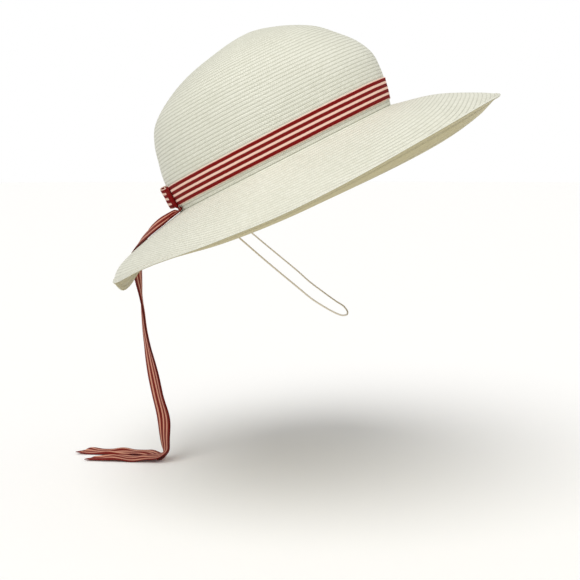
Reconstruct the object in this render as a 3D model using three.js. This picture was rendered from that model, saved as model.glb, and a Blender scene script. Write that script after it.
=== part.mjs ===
// Woman's sun hat of sewn straw braid: domed crown, wide turned-down brim, striped ribbon band with a
// loop, knot and two hanging tails at the back, and a thin round elastic that goes under the chin.
//
// Millimetres, +Z up, +X to the wearer's front, +Y to the wearer's left. The origin is the middle of
// the head opening, in the plane where crown and brim meet. The hat is worn tipped back, so crown,
// brim, band and bow sit in a group that is turned about Y; what hangs by its own weight does not.

import * as THREE from 'three';

// Hat as worn
const tipBack = 27;            // degrees that the front is raised
const restLevel = -287;        // height of the surface that the ends of the tails lie on

// Straw
const strawWall = 1.6;         // thickness of the sewn braid
const crownLength = 203;       // outside, front to back, where it meets the brim
const crownWidth = 164;        // outside, side to side, where it meets the brim
const crownHeight = 110;
const brimReach = 91;          // level distance from crown to edge at the front
const brimDrop = 38;           // how far the front edge lies below the crown's foot
const collarHeight = 11;       // turned-up inner edge of the brim, sewn inside the crown
const ovalPower = 2.25;        // 2 is an ellipse, more is squarer at the temples
const eggShare = 0.045;        // how much wider the oval is at the back than at the front

// Ribbon
const ribbonWidth = 18;
const ribbonThickness = 1;
const bandFoot = 5;            // height of the band's lower edge above the crown's foot
const loopLength = 38;         // along the crown, from knot to fold
const loopOpening = 3.8;       // inside the loop at its fullest
const loopPinch = 1.6;         // inside the loop beside the knot
const loopRise = 3.5;          // how much higher the loop stands at its fold
const knotWidth = 5;
const knotDepth = 4.8;         // how far the knot stands off the band
const bowTurn = 197;           // place of the knot round the crown, in degrees

// Tails
const tailSway = 26;           // how far forward the tails drift as they fall
const upperLie = 70;           // length of the upper tail that lies on the surface
const underLie = 86;           // length of the under tail that lies on the surface
const lieHeading = 174;        // direction in which they lie, in degrees round from the front
const cutSlant = 14;           // how much longer one side of a cut end is than the other
const overEdge = 1.4;          // how far outside the brim's edge the tails fall
const tailEase = 0.7;          // slack under the tails where they lie on the brim or on each other

// Elastic
const elasticDiameter = 1.4;
const elasticTurn = 148;       // where each end is sewn, in degrees round from the front
const knotDiameter = 4.2;      // sewn knot at each end
const knotRise = 3;            // height of the knots above the crown's foot

// Clearance between pieces that are sewn together
const seam = 0.3;
const collarSeam = 0.5;        // between the crown's inner face and the collar

// Facets
const crownFacets = 56;
const brimFacets = 72;
const wayCuts = 20;            // sections of a tail on the brim
const fallCuts = 22;           // sections of a tail as it falls
const lieCuts = 13;            // sections of a tail where it lies
const elasticSteps = 76;
const elasticSides = 8;

const degrees = Math.PI / 180;

// Crown sections from foot to tip. Rise is a share of crownHeight; back and front are shares of half
// the crown's length, side is a share of half its width. The tip lies forward of the middle.
const crownRows = [
  { rise: 0.000, back: 1.000, front: 1.000, side: 1.000 },
  { rise: 0.150, back: 1.005, front: 1.040, side: 1.015 },
  { rise: 0.285, back: 1.000, front: 1.060, side: 1.020 },
  { rise: 0.420, back: 0.970, front: 1.055, side: 1.010 },
  { rise: 0.555, back: 0.930, front: 0.985, side: 0.975 },
  { rise: 0.682, back: 0.850, front: 0.865, side: 0.910 },
  { rise: 0.797, back: 0.675, front: 0.735, side: 0.790 },
  { rise: 0.889, back: 0.450, front: 0.560, side: 0.610 },
  { rise: 0.952, back: 0.165, front: 0.390, side: 0.390 },
  { rise: 0.987, back: -0.020, front: 0.275, side: 0.170 },
  { rise: 1.000, back: -0.160, front: 0.190, side: 0.015 },
];

// Brim sections, from the front round the wearer's left. Turn is in degrees. Reach is a share of
// brimReach. Mid, low and edge are heights as shares of brimDrop, at the places in brimSteps.
const brimRows = [
  { turn: 0, reach: 0.915, mid: -0.25, low: -0.64, edge: -0.87 },
  { turn: 25, reach: 0.930, mid: -0.34, low: -0.80, edge: -0.86 },
  { turn: 60, reach: 0.940, mid: -0.50, low: -1.04, edge: -0.86 },
  { turn: 90, reach: 0.910, mid: -0.56, low: -0.98, edge: -0.90 },
  { turn: 120, reach: 0.900, mid: -0.40, low: -0.76, edge: -0.74 },
  { turn: 145, reach: 0.885, mid: -0.29, low: -0.53, edge: -0.69 },
  { turn: 160, reach: 0.865, mid: -0.25, low: -0.49, edge: -0.80 },
  { turn: 172, reach: 0.850, mid: -0.22, low: -0.47, edge: -0.97 },
  { turn: 182, reach: 0.840, mid: -0.21, low: -0.46, edge: -0.97 },
  { turn: 192, reach: 0.835, mid: -0.21, low: -0.44, edge: -0.72 },
  { turn: 210, reach: 0.865, mid: -0.24, low: -0.46, edge: -0.68 },
  { turn: 230, reach: 0.900, mid: -0.34, low: -0.60, edge: -0.65 },
  { turn: 250, reach: 0.905, mid: -0.48, low: -0.86, edge: -0.79 },
  { turn: 270, reach: 0.910, mid: -0.56, low: -1.00, edge: -0.91 },
  { turn: 300, reach: 0.940, mid: -0.52, low: -1.07, edge: -0.86 },
  { turn: 322, reach: 0.950, mid: -0.42, low: -0.97, edge: -0.83 },
  { turn: 342, reach: 0.925, mid: -0.30, low: -0.76, edge: -0.86 },
];
const brimSteps = [0, 0.45, 0.84, 1];

// Way of the tails over the brim, from under the knot to the edge. Turn is in degrees and out is the
// share of the way to the edge. Open is the share of the ribbon's width that is spread out, rise is how
// far the ribbon stands off the brim, as a share of its width, and tip is how far its far side is
// turned up from the brim, in degrees.
const brimWay = [
  { turn: 199.5, out: 0.060, open: 0.30, rise: 0.04, tip: 8 },
  { turn: 198.5, out: 0.110, open: 0.40, rise: 0.02, tip: 18 },
  { turn: 195.5, out: 0.180, open: 0.50, rise: 0.02, tip: 22 },
  { turn: 190.0, out: 0.270, open: 0.62, rise: 0.01, tip: 16 },
  { turn: 182.0, out: 0.370, open: 0.80, rise: 0.01, tip: 8 },
  { turn: 173.0, out: 0.490, open: 0.95, rise: 0.00, tip: 2 },
  { turn: 165.5, out: 0.640, open: 1.00, rise: 0.00, tip: 0 },
  { turn: 160.5, out: 0.820, open: 1.00, rise: 0.00, tip: 0 },
  { turn: 158.5, out: 0.970, open: 1.00, rise: 0.02, tip: 0 },
];

// The tails as they fall from the edge. Fall is a share of the way down to the surface, forward and
// left are shares of tailSway, face is the turn of the ribbon about the upright and tilt is how far
// its far side is raised, in degrees, and apart is how far the under tail stands in front of the
// upper one, as a share of their width.
const fallRows = [
  { fall: 0.012, forward: 0.000, left: 0.00, face: 14, tilt: 15, apart: 0.12 },
  { fall: 0.050, forward: 0.030, left: 0.00, face: 8, tilt: 8, apart: 0.12 },
  { fall: 0.120, forward: 0.090, left: -0.01, face: -1, tilt: 2, apart: 0.12 },
  { fall: 0.210, forward: 0.160, left: -0.03, face: -4, tilt: 0, apart: 0.12 },
  { fall: 0.320, forward: 0.235, left: -0.06, face: -10, tilt: 0, apart: 0.13 },
  { fall: 0.430, forward: 0.380, left: -0.10, face: -18, tilt: 0, apart: 0.18 },
  { fall: 0.535, forward: 0.535, left: -0.14, face: -21, tilt: 0, apart: 0.21 },
  { fall: 0.660, forward: 0.720, left: -0.19, face: -22, tilt: 0, apart: 0.21 },
  { fall: 0.770, forward: 0.915, left: -0.22, face: -26, tilt: 0, apart: 0.24 },
  { fall: 0.875, forward: 0.955, left: -0.25, face: -13, tilt: 0, apart: 0.18 },
  { fall: 0.945, forward: 1.000, left: -0.26, face: -5, tilt: 0, apart: 0.16 },
];

// The tails as they lie. Along is a share of each tail's own lying length and lift is the height over
// the surface. Beside is how far the under tail lies to the far side of the upper one. Both are
// shares of ribbonWidth.
const lieRows = [
  { along: 0.04, lift: 0.29, beside: 0.12 },
  { along: 0.13, lift: 0.17, beside: 0.46 },
  { along: 0.26, lift: 0.12, beside: 0.98 },
  { along: 0.42, lift: 0.02, beside: 1.06 },
  { along: 0.60, lift: 0.04, beside: 1.04 },
  { along: 0.80, lift: 0.01, beside: 1.04 },
  { along: 1.00, lift: 0.00, beside: 1.04 },
];

// Way of the elastic, from the right knot round under the chin to the middle. The left half mirrors it.
const elasticWay = [
  [-56.7, -53, -48.5],
  [-36.9, -58, -64.6],
  [-20.0, -61, -79.0],
  [-7.0, -62, -89.9],
  [11.5, -62, -105.3],
  [22.8, -58, -115.0],
  [36.9, -50, -124.8],
  [46.5, -40, -130.6],
  [52.0, -27, -132.6],
  [54.0, -13, -133.4],
];
const elasticMiddle = [54.6, 0, -133.7];

const column = (rows, name) => rows.map((row) => row[name]);

// Evenly spread numbers from one value to another, both included.
const spread = (from, to, count) => Array.from({ length: count }, (_, i) => from + ((to - from) * i) / (count - 1));
const turnsOf = (count) => Array.from({ length: count }, (_, i) => (360 * i) / count);

// Cubic from b to c with the slopes that it has there, at a share f of the way.
function cubic(b, c, slopeB, slopeC, f) {
  const g = 1 - f;
  return b * (1 + 2 * f) * g * g + slopeB * f * g * g + c * (3 - 2 * f) * f * f - slopeC * f * f * g;
}

// Smooth curve through values that stand one apart, at a place from 0 to the last.
function through(values, at) {
  const last = values.length - 1;
  const i = Math.min(Math.max(Math.floor(at), 0), last - 1);
  const slope = (k) => (values[Math.min(k + 1, last)] - values[Math.max(k - 1, 0)]) / (k > 0 && k < last ? 2 : 1);
  return cubic(values[i], values[i + 1], slope(i), slope(i + 1), at - i);
}

// Smooth curve through a column of brimRows, which runs on from the last row to the first.
function brimShare(name, turn) {
  const count = brimRows.length;
  const place = ((turn % 360) + 360) % 360;
  const row = (k) => brimRows[((k % count) + count) % count];
  const turnOf = (k) => row(k).turn + 360 * Math.floor(k / count);
  const i = brimRows.findLastIndex((each) => each.turn <= place);
  const slope = (k) => (row(k + 1)[name] - row(k - 1)[name]) / (turnOf(k + 1) - turnOf(k - 1));
  const span = turnOf(i + 1) - turnOf(i);
  return cubic(row(i)[name], row(i + 1)[name], slope(i) * span, slope(i + 1) * span, (place - turnOf(i)) / span);
}

// Point of a head-shaped oval, seen from above, that spans back to front and is twice side wide.
function oval(turn, back, front, side) {
  const c = Math.cos(turn * degrees);
  const s = Math.sin(turn * degrees);
  const squared = (value) => Math.sign(value) * Math.abs(value) ** (2 / ovalPower);
  const middle = (front - back) / 2;
  const half = (front + back) / 2;
  return new THREE.Vector2(middle + half * squared(c), side * squared(s) * (1 - eggShare * c));
}

// Outer face of the crown. Row runs from 0 at the foot to the last of crownRows at the tip.
function crownFace(turn, row) {
  const share = (name) => through(column(crownRows, name), row);
  const [length, width] = [crownLength / 2, crownWidth / 2];
  const plan = oval(turn, share('back') * length, share('front') * length, share('side') * width);
  return new THREE.Vector3(plan.x, plan.y, share('rise') * crownHeight);
}

// Upper face of the brim. Out runs from 0 at the crown to 1 at the edge.
function brimFace(turn, out) {
  const share = (name) => brimShare(name, turn);
  const reach = brimReach * share('reach');
  const foot = oval(turn, crownLength / 2, crownLength / 2, crownWidth / 2);
  const rim = oval(turn, crownLength / 2 + reach, crownLength / 2 + reach, crownWidth / 2 + reach);
  const place = out * (brimSteps.length - 1);
  const plan = foot.lerp(rim, through(brimSteps, place));
  const heights = [-seam / brimDrop, share('mid'), share('low'), share('edge')];
  return new THREE.Vector3(plan.x, plan.y, through(heights, place) * brimDrop);
}

// Direction that stands square on a face, out of the straw.
function outward(face, turn, along) {
  const round = face(turn + 0.5, along).sub(face(turn - 0.5, along));
  const up = face(turn, along + 0.01).sub(face(turn, along - 0.01));
  return round.cross(up).normalize().multiplyScalar(face === brimFace ? -1 : 1);
}

// Point over a face, by how far it stands off.
const off = (face, turn, along, lift) => face(turn, along).addScaledVector(outward(face, turn, along), lift);

// Place where a rising value passes a target, between two bounds.
function crossing(value, target, from, to) {
  let [low, high] = [from, to];
  for (let step = 0; step < 30; step += 1) {
    const middle = (low + high) / 2;
    [low, high] = value(middle) < target ? [middle, high] : [low, middle];
  }
  return low;
}

// Point off the crown's outer face, by height above the foot and stand-off.
function offCrown(turn, height, lift) {
  const row = crossing((at) => crownFace(0, at).z, height, 0, crownRows.length - 1);
  return off(crownFace, turn, row, lift);
}

// Turn that lies a distance round the crown from another one, at the height of the band.
function roundCrown(turn, distance) {
  const step = 0.25 * Math.sign(distance);
  const height = bandFoot + ribbonWidth / 2;
  let [at, left] = [turn, Math.abs(distance)];
  while (left > 0) {
    const length = offCrown(at, height, 0).distanceTo(offCrown(at + step, height, 0));
    at += step * Math.min(left / length, 1);
    left -= length;
  }
  return at;
}

// Solid skinned over loops of points. Joined runs on from the last loop to the first; otherwise both
// ends are closed with a fan round their middle.
function skinned(loops, joined = false) {
  const points = loops.flat();
  const faces = [];
  const size = loops[0].length;
  for (let i = 0; i < loops.length - (joined ? 0 : 1); i += 1) {
    const [here, next] = [i * size, ((i + 1) % loops.length) * size];
    for (let j = 0; j < size; j += 1) {
      const k = (j + 1) % size;
      faces.push(here + j, here + k, next + k, here + j, next + k, next + j);
    }
  }
  const ends = joined ? [] : [[loops[0], 0, true], [loops.at(-1), points.length - size, false]];
  for (const [loop, start, first] of ends) {
    const middle = loop.reduce((sum, point) => sum.add(point), new THREE.Vector3()).divideScalar(size);
    points.push(middle);
    for (let j = 0; j < size; j += 1) {
      const pair = [start + j, start + ((j + 1) % size)];
      faces.push(points.length - 1, ...(first ? pair.reverse() : pair));
    }
  }
  const geometry = new THREE.BufferGeometry().setFromPoints(points);
  geometry.setIndex(facedOut(points, faces));
  geometry.computeVertexNormals();
  return geometry;
}

// Triangles turned, where they need it, so that the solid that they close has a positive volume.
function facedOut(points, faces) {
  let volume = 0;
  for (let i = 0; i < faces.length; i += 3) {
    const [a, b, c] = [points[faces[i]], points[faces[i + 1]], points[faces[i + 2]]];
    volume += a.dot(b.clone().cross(c));
  }
  return volume < 0 ? faces.reverse() : faces;
}

function crownGeometry() {
  const tip = crownRows.length - 1;
  const ring = (row, lift) => turnsOf(crownFacets).map((turn) => off(crownFace, turn, row, lift));
  const inner = spread(tip - 0.2, 0, 14).map((row) => ring(row, -strawWall));
  const outer = spread(0, tip, 17).map((row) => ring(row, 0));
  return skinned([...inner, ...outer]);
}

// One cut through the brim and its collar, as a closed loop.
function brimCut(turn) {
  const outs = [0.04, 0.12, 0.25, 0.4, 0.53, 0.64, 0.74, 0.83, 0.92, 1];
  const foot = crownFace(turn, 0);
  const inward = foot.clone().sub(brimFace(turn, 0.3)).setZ(0).normalize();
  const collar = (depth, height) => foot.clone().addScaledVector(inward, depth).setZ(height);
  const face = strawWall + collarSeam;
  return [
    collar(face, collarHeight),
    collar(face, -seam),
    ...outs.map((out) => brimFace(turn, out)),
    ...outs.toReversed().map((out) => off(brimFace, turn, out, -strawWall)),
    collar(face + strawWall / 4, -seam - strawWall),
    collar(face + strawWall, -seam),
    collar(face + strawWall, collarHeight),
  ];
}

const brimGeometry = () => skinned(turnsOf(brimFacets).map(brimCut), true);

function bandGeometry() {
  const heights = spread(bandFoot, bandFoot + ribbonWidth, 4);
  const side = (turn, lift) => heights.map((height) => offCrown(turn, height, lift));
  const cut = (turn) => [...side(turn, seam), ...side(turn, seam + ribbonThickness).toReversed()];
  return skinned(turnsOf(crownFacets).map(cut), true);
}

// The loop is two flat layers joined by a round bend at each end, the far bend a little wider.
function loopGeometry() {
  const base = 2 * seam + 1.5 * ribbonThickness;
  const bends = [loopPinch, loopOpening].map((gap) => (gap + ribbonThickness) / 2);
  const centres = [seam + ribbonThickness / 2 + bends[0], loopLength - bends[1]];
  const station = (share, angle) => {
    const bend = bends[0] + (bends[1] - bends[0]) * share;
    const square = new THREE.Vector2(Math.cos(angle * degrees), Math.sin(angle * degrees));
    const centre = new THREE.Vector2(centres[0] + (centres[1] - centres[0]) * share, base + bend);
    return { square, place: centre.addScaledVector(square, bend) };
  };
  const stations = [
    ...spread(0, 1, 10).map((share) => station(share, -90)),
    ...spread(-60, 60, 5).map((angle) => station(1, angle)),
    ...spread(1, 0, 10).map((share) => station(share, 90)),
    ...spread(120, 240, 5).map((angle) => station(0, angle)),
  ];
  const cut = ({ square, place }) => {
    const foot = bandFoot + (loopRise * place.x) / loopLength;
    const side = (lift) => spread(foot, foot + ribbonWidth, 3).map((height) => {
      const turn = roundCrown(bowTurn, -place.x - square.x * lift);
      return offCrown(turn, height, place.y + square.y * lift);
    });
    return [...side(-ribbonThickness / 2), ...side(ribbonThickness / 2).toReversed()];
  };
  return skinned(stations.map(cut), true);
}

// The knot is a narrow pillow that wraps the ribbon, on the front side of the loop.
function knotGeometry() {
  const base = 2 * seam + ribbonThickness;
  const middle = bandFoot + ribbonWidth / 2;
  const cut = (share) => {
    const fullness = Math.sin(Math.PI * (0.14 + 0.72 * share));
    const depth = (knotDepth - base) * fullness;
    const half = (ribbonWidth / 2 + strawWall / 2) * (0.86 + 0.14 * fullness);
    const turn = roundCrown(bowTurn, Math.max(share * knotWidth, 0.001));
    const outer = spread(-1, 1, 7).map((up) => offCrown(turn, middle + half * up, base + depth * (1.02 - up ** 4)));
    const inner = spread(1, -1, 4).map((up) => offCrown(turn, middle + half * up * 0.98, base));
    return [...outer, ...inner];
  };
  return skinned(spread(0, 1, 6).map(cut));
}

const axisY = new THREE.Vector3(0, 1, 0);
const worn = (point) => point.clone().applyAxisAngle(axisY, -tipBack * degrees);

// Point over the brim's upper face above a place in the plan, by how far it stands off.
function offBrim(x, y, lift) {
  let [turn, out] = [Math.atan2(y / crownWidth, x / crownLength) / degrees, 0.5];
  for (let step = 0; step < 12; step += 1) {
    const here = brimFace(turn, out);
    const round = brimFace(turn + 0.1, out).sub(here).multiplyScalar(10);
    const away = brimFace(turn, out + 0.001).sub(here).multiplyScalar(1000);
    const [dx, dy] = [x - here.x, y - here.y];
    const area = round.x * away.y - round.y * away.x;
    turn += (dx * away.y - dy * away.x) / area;
    out += (round.x * dy - round.y * dx) / area;
  }
  return off(brimFace, turn, out, lift);
}

// Row of a table at a place between its rows, with every column on a smooth curve.
const between = (rows, at) =>
  Object.fromEntries(Object.keys(rows[0]).map((name) => [name, through(column(rows, name), at)]));
const betweenAll = (rows, count) => spread(0, rows.length - 1, count).map((at) => between(rows, at));

// Three points across a ribbon, from its near side to its far side.
const acrossRibbon = (middle, across) =>
  [-0.5, 0, 0.5].map((share) => middle.clone().addScaledVector(across, share * ribbonWidth));

// Sections of a tail on the brim, from under the knot to the edge. It heads for a place past the edge.
function waySections(rank) {
  const target = brimFace(brimWay.at(-1).turn, 1.3);
  const stand = rank * (ribbonThickness + tailEase);
  return betweenAll(brimWay, wayCuts).map((row) => {
    const middle = brimFace(row.turn, row.out);
    const ahead = target.clone().sub(middle);
    const across = new THREE.Vector3(ahead.y, -ahead.x, 0).normalize();
    const [level, upright] = [Math.cos(row.tip * degrees), Math.sin(row.tip * degrees)];
    const base = seam + tailEase + ribbonThickness / 2 + row.rise * ribbonWidth + level * stand;
    return [-0.5, 0, 0.5].map((share) => {
      const width = ribbonWidth * row.open;
      const place = middle.clone().addScaledVector(across, share * width * level - upright * stand);
      return worn(offBrim(place.x, place.y, base + (share + 0.5) * width * upright));
    });
  });
}

// Level direction that stands square on a hanging tail, on its front side.
const frontOf = (face) => new THREE.Vector3(Math.cos(face * degrees), -Math.sin(face * degrees), 0);

// Sections of a tail that falls from the edge down to the surface that its end lies on.
function fallSections(start, edgeHeight, rank) {
  return betweenAll(fallRows, fallCuts).map((row) => {
    const front = frontOf(row.face);
    const tilt = Math.tan(row.tilt * degrees);
    const across = new THREE.Vector3(-front.y, front.x, tilt).normalize();
    const sway = new THREE.Vector3(row.forward, row.left, 0).multiplyScalar(tailSway);
    const middle = start.clone().add(sway).setZ(edgeHeight - row.fall * (edgeHeight - restLevel));
    return acrossRibbon(middle.addScaledVector(front, (1 - rank) * row.apart * ribbonWidth), across);
  });
}

// Sections of a tail that lies, with its end cut on a slant.
function lieSections(start, rank, lieLength) {
  const heading = new THREE.Vector3(Math.cos(lieHeading * degrees), Math.sin(lieHeading * degrees), 0);
  const across = new THREE.Vector3(heading.y, -heading.x, 0);
  return betweenAll(lieRows, lieCuts).map((row) => {
    const middle = start.clone().addScaledVector(heading, row.along * lieLength);
    middle.addScaledVector(across, (1 - rank) * row.beside * ribbonWidth);
    middle.z = restLevel + ribbonThickness / 2 + row.lift * ribbonWidth * (rank === 1 ? 1 : 0.2);
    const slant = (cutSlant / 2) * Math.max(0, (row.along - 0.6) / 0.4);
    const points = acrossRibbon(middle, across);
    points[0].addScaledVector(heading, slant);
    points[2].addScaledVector(heading, -slant);
    return points;
  });
}

// A tail, from under the knot over the brim and down. Rank is 0 for the under tail, 1 for the upper.
function tailGeometry(rank, lieLength) {
  const way = waySections(rank);
  const edge = worn(brimFace(brimWay.at(-1).turn, 1));
  const [{ face, apart }] = fallRows;
  const out = overEdge + ribbonThickness / 2 + apart * ribbonWidth;
  const start = edge.clone().addScaledVector(frontOf(face), -out);
  const fall = fallSections(start, edge.z, rank);
  const lie = lieSections(fall.at(-1)[1], rank, lieLength);
  return ribbonSolid([...way, ...fall, ...lie]);
}

// Solid of even thickness round sections of three points each.
function ribbonSolid(sections) {
  const last = sections.length - 1;
  const loops = sections.map((points, i) => {
    const ahead = sections[Math.min(i + 1, last)][1].clone().sub(sections[Math.max(i - 1, 0)][1]);
    const square = points[2].clone().sub(points[0]).cross(ahead).normalize();
    const face = (sign) => points.map((point) => point.clone().addScaledVector(square, (sign * ribbonThickness) / 2));
    return [...face(-1), ...face(1).reverse()];
  });
  return skinned(loops);
}

// Middle of a sewn knot, against the collar's inner wall. Side is -1 on the wearer's right, 1 on the left.
function knotMiddle(side) {
  const foot = crownFace(side * elasticTurn, 0);
  const inward = foot.clone().sub(brimFace(side * elasticTurn, 0.3)).setZ(0).normalize();
  const depth = 2 * strawWall + collarSeam + 1.3 * seam + knotDiameter / 2;
  return worn(foot.addScaledVector(inward, depth).setZ(knotRise));
}

function elasticKnotGeometry(side) {
  const middle = knotMiddle(side);
  return new THREE.SphereGeometry(knotDiameter / 2, 10, 8).translate(middle.x, middle.y, middle.z);
}

function elasticGeometry() {
  const right = elasticWay.map(([x, y, z]) => new THREE.Vector3(x, y, z));
  const left = elasticWay.toReversed().map(([x, y, z]) => new THREE.Vector3(x, -y, z));
  const way = [...right, new THREE.Vector3(...elasticMiddle), ...left];
  const end = (side, next) => {
    const middle = knotMiddle(side);
    const ahead = next.clone().sub(middle).normalize();
    return middle.addScaledVector(ahead, knotDiameter / 2 + seam);
  };
  const points = [end(-1, way[0]), ...way, end(1, way.at(-1))];
  const section = new THREE.Shape().absarc(0, 0, elasticDiameter / 2, 0, 2 * Math.PI);
  return new THREE.ExtrudeGeometry(section, {
    steps: elasticSteps,
    curveSegments: elasticSides / 2,
    bevelEnabled: false,
    extrudePath: new THREE.CatmullRomCurve3(points),
  });
}

const group = new THREE.Group();
const hat = new THREE.Group();
hat.rotation.y = -tipBack * degrees;
group.add(hat);

function add(parent, name, geometry, color, roughness) {
  const mesh = new THREE.Mesh(geometry, new THREE.MeshStandardMaterial({ color, roughness, metalness: 0 }));
  mesh.name = name;
  parent.add(mesh);
}

const strawColour = 0xe8e7da;
const ribbonColour = 0x9c1a1a;
const elasticColour = 0xb9ab95;

add(hat, 'crown', crownGeometry(), strawColour, 0.8);
add(hat, 'brim', brimGeometry(), strawColour, 0.8);
add(hat, 'hat_band', bandGeometry(), ribbonColour, 0.7);
add(hat, 'bow_loop', loopGeometry(), ribbonColour, 0.7);
add(hat, 'bow_knot', knotGeometry(), ribbonColour, 0.7);
add(group, 'ribbon_tail_under', tailGeometry(0, underLie), ribbonColour, 0.7);
add(group, 'ribbon_tail_upper', tailGeometry(1, upperLie), ribbonColour, 0.7);
add(group, 'chin_elastic', elasticGeometry(), elasticColour, 0.6);
add(group, 'elastic_knot_right', elasticKnotGeometry(-1), elasticColour, 0.6);
add(group, 'elastic_knot_left', elasticKnotGeometry(1), elasticColour, 0.6);

export default group;
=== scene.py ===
import logging
import math
from bisect import bisect_right
from dataclasses import dataclass, field
from enum import Enum
from typing import Any, Callable, Sequence

import bpy
import bmesh
from mathutils import Matrix, Vector, noise


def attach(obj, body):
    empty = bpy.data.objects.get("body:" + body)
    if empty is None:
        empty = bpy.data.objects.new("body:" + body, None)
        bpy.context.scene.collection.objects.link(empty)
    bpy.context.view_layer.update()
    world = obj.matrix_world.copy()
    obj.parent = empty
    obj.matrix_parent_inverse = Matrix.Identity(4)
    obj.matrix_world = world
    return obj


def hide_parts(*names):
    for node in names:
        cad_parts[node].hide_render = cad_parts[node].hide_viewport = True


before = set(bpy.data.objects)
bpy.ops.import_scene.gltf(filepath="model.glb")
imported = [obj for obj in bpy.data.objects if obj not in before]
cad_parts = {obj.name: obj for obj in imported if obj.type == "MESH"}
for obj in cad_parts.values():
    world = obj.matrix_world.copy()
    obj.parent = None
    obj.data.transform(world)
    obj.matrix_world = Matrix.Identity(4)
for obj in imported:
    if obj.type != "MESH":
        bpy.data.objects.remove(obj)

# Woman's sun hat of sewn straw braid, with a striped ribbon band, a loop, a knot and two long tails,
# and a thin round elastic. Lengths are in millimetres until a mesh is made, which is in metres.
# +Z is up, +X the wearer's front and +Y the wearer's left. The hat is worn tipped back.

LOG = logging.getLogger("sun_hat")
MM = 0.001
# Rows of braid on a side that is turned from the light are numbered from here in UV, where the straw gets
# a yellower tone and painted shade
INSIDE_ROWS = 100
MATH = "ShaderNodeMath"
MULTIPLY = {"operation": "MULTIPLY"}
MULTIPLY_ADD = {"operation": "MULTIPLY_ADD"}
CLAMPED_ADD = {"operation": "MULTIPLY_ADD", "use_clamp": True}
MIX = "ShaderNodeMix"
COLOURS = {"data_type": "RGBA"}


class RibbonLook(Enum):
    """How far the ribbon has faded, and the tails' copy is darker and browner as painted shade."""

    FRESH = "band"
    FADED_AND_SHADED = "tails"


# Sections of the hat, the same as in the part's source.
CROWN_ROWS = (
    {"rise": 0.000, "back": 1.000, "front": 1.000, "side": 1.000},
    {"rise": 0.150, "back": 1.005, "front": 1.040, "side": 1.015},
    {"rise": 0.285, "back": 1.000, "front": 1.060, "side": 1.020},
    {"rise": 0.420, "back": 0.970, "front": 1.055, "side": 1.010},
    {"rise": 0.555, "back": 0.930, "front": 0.985, "side": 0.975},
    {"rise": 0.682, "back": 0.850, "front": 0.865, "side": 0.910},
    {"rise": 0.797, "back": 0.675, "front": 0.735, "side": 0.790},
    {"rise": 0.889, "back": 0.450, "front": 0.560, "side": 0.610},
    {"rise": 0.952, "back": 0.165, "front": 0.390, "side": 0.390},
    {"rise": 0.987, "back": -0.020, "front": 0.275, "side": 0.170},
    {"rise": 1.000, "back": -0.160, "front": 0.190, "side": 0.015},
)

BRIM_ROWS = (
    {"turn": 0, "reach": 0.915, "mid": -0.25, "low": -0.64, "edge": -0.87},
    {"turn": 25, "reach": 0.930, "mid": -0.34, "low": -0.80, "edge": -0.86},
    {"turn": 60, "reach": 0.940, "mid": -0.50, "low": -1.04, "edge": -0.86},
    {"turn": 90, "reach": 0.910, "mid": -0.56, "low": -0.98, "edge": -0.90},
    {"turn": 120, "reach": 0.900, "mid": -0.40, "low": -0.76, "edge": -0.74},
    {"turn": 145, "reach": 0.885, "mid": -0.29, "low": -0.53, "edge": -0.69},
    {"turn": 160, "reach": 0.865, "mid": -0.25, "low": -0.49, "edge": -0.80},
    {"turn": 172, "reach": 0.850, "mid": -0.22, "low": -0.47, "edge": -0.97},
    {"turn": 182, "reach": 0.840, "mid": -0.21, "low": -0.46, "edge": -0.97},
    {"turn": 192, "reach": 0.835, "mid": -0.21, "low": -0.44, "edge": -0.72},
    {"turn": 210, "reach": 0.865, "mid": -0.24, "low": -0.46, "edge": -0.68},
    {"turn": 230, "reach": 0.900, "mid": -0.34, "low": -0.60, "edge": -0.65},
    {"turn": 250, "reach": 0.905, "mid": -0.48, "low": -0.86, "edge": -0.79},
    {"turn": 270, "reach": 0.910, "mid": -0.56, "low": -1.00, "edge": -0.91},
    {"turn": 300, "reach": 0.940, "mid": -0.52, "low": -1.07, "edge": -0.86},
    {"turn": 322, "reach": 0.950, "mid": -0.42, "low": -0.97, "edge": -0.83},
    {"turn": 342, "reach": 0.925, "mid": -0.30, "low": -0.76, "edge": -0.86},
)
BRIM_STEPS = (0.0, 0.45, 0.84, 1.0)

BRIM_WAY = (
    {"turn": 199.5, "out": 0.060, "open": 0.30, "rise": 0.04, "tip": 8},
    {"turn": 198.5, "out": 0.110, "open": 0.40, "rise": 0.02, "tip": 18},
    {"turn": 195.5, "out": 0.180, "open": 0.50, "rise": 0.02, "tip": 22},
    {"turn": 190.0, "out": 0.270, "open": 0.62, "rise": 0.01, "tip": 16},
    {"turn": 182.0, "out": 0.370, "open": 0.80, "rise": 0.01, "tip": 8},
    {"turn": 173.0, "out": 0.490, "open": 0.95, "rise": 0.00, "tip": 2},
    {"turn": 165.5, "out": 0.640, "open": 1.00, "rise": 0.00, "tip": 0},
    {"turn": 160.5, "out": 0.820, "open": 1.00, "rise": 0.00, "tip": 0},
    {"turn": 158.5, "out": 0.970, "open": 1.00, "rise": 0.02, "tip": 0},
)

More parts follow.
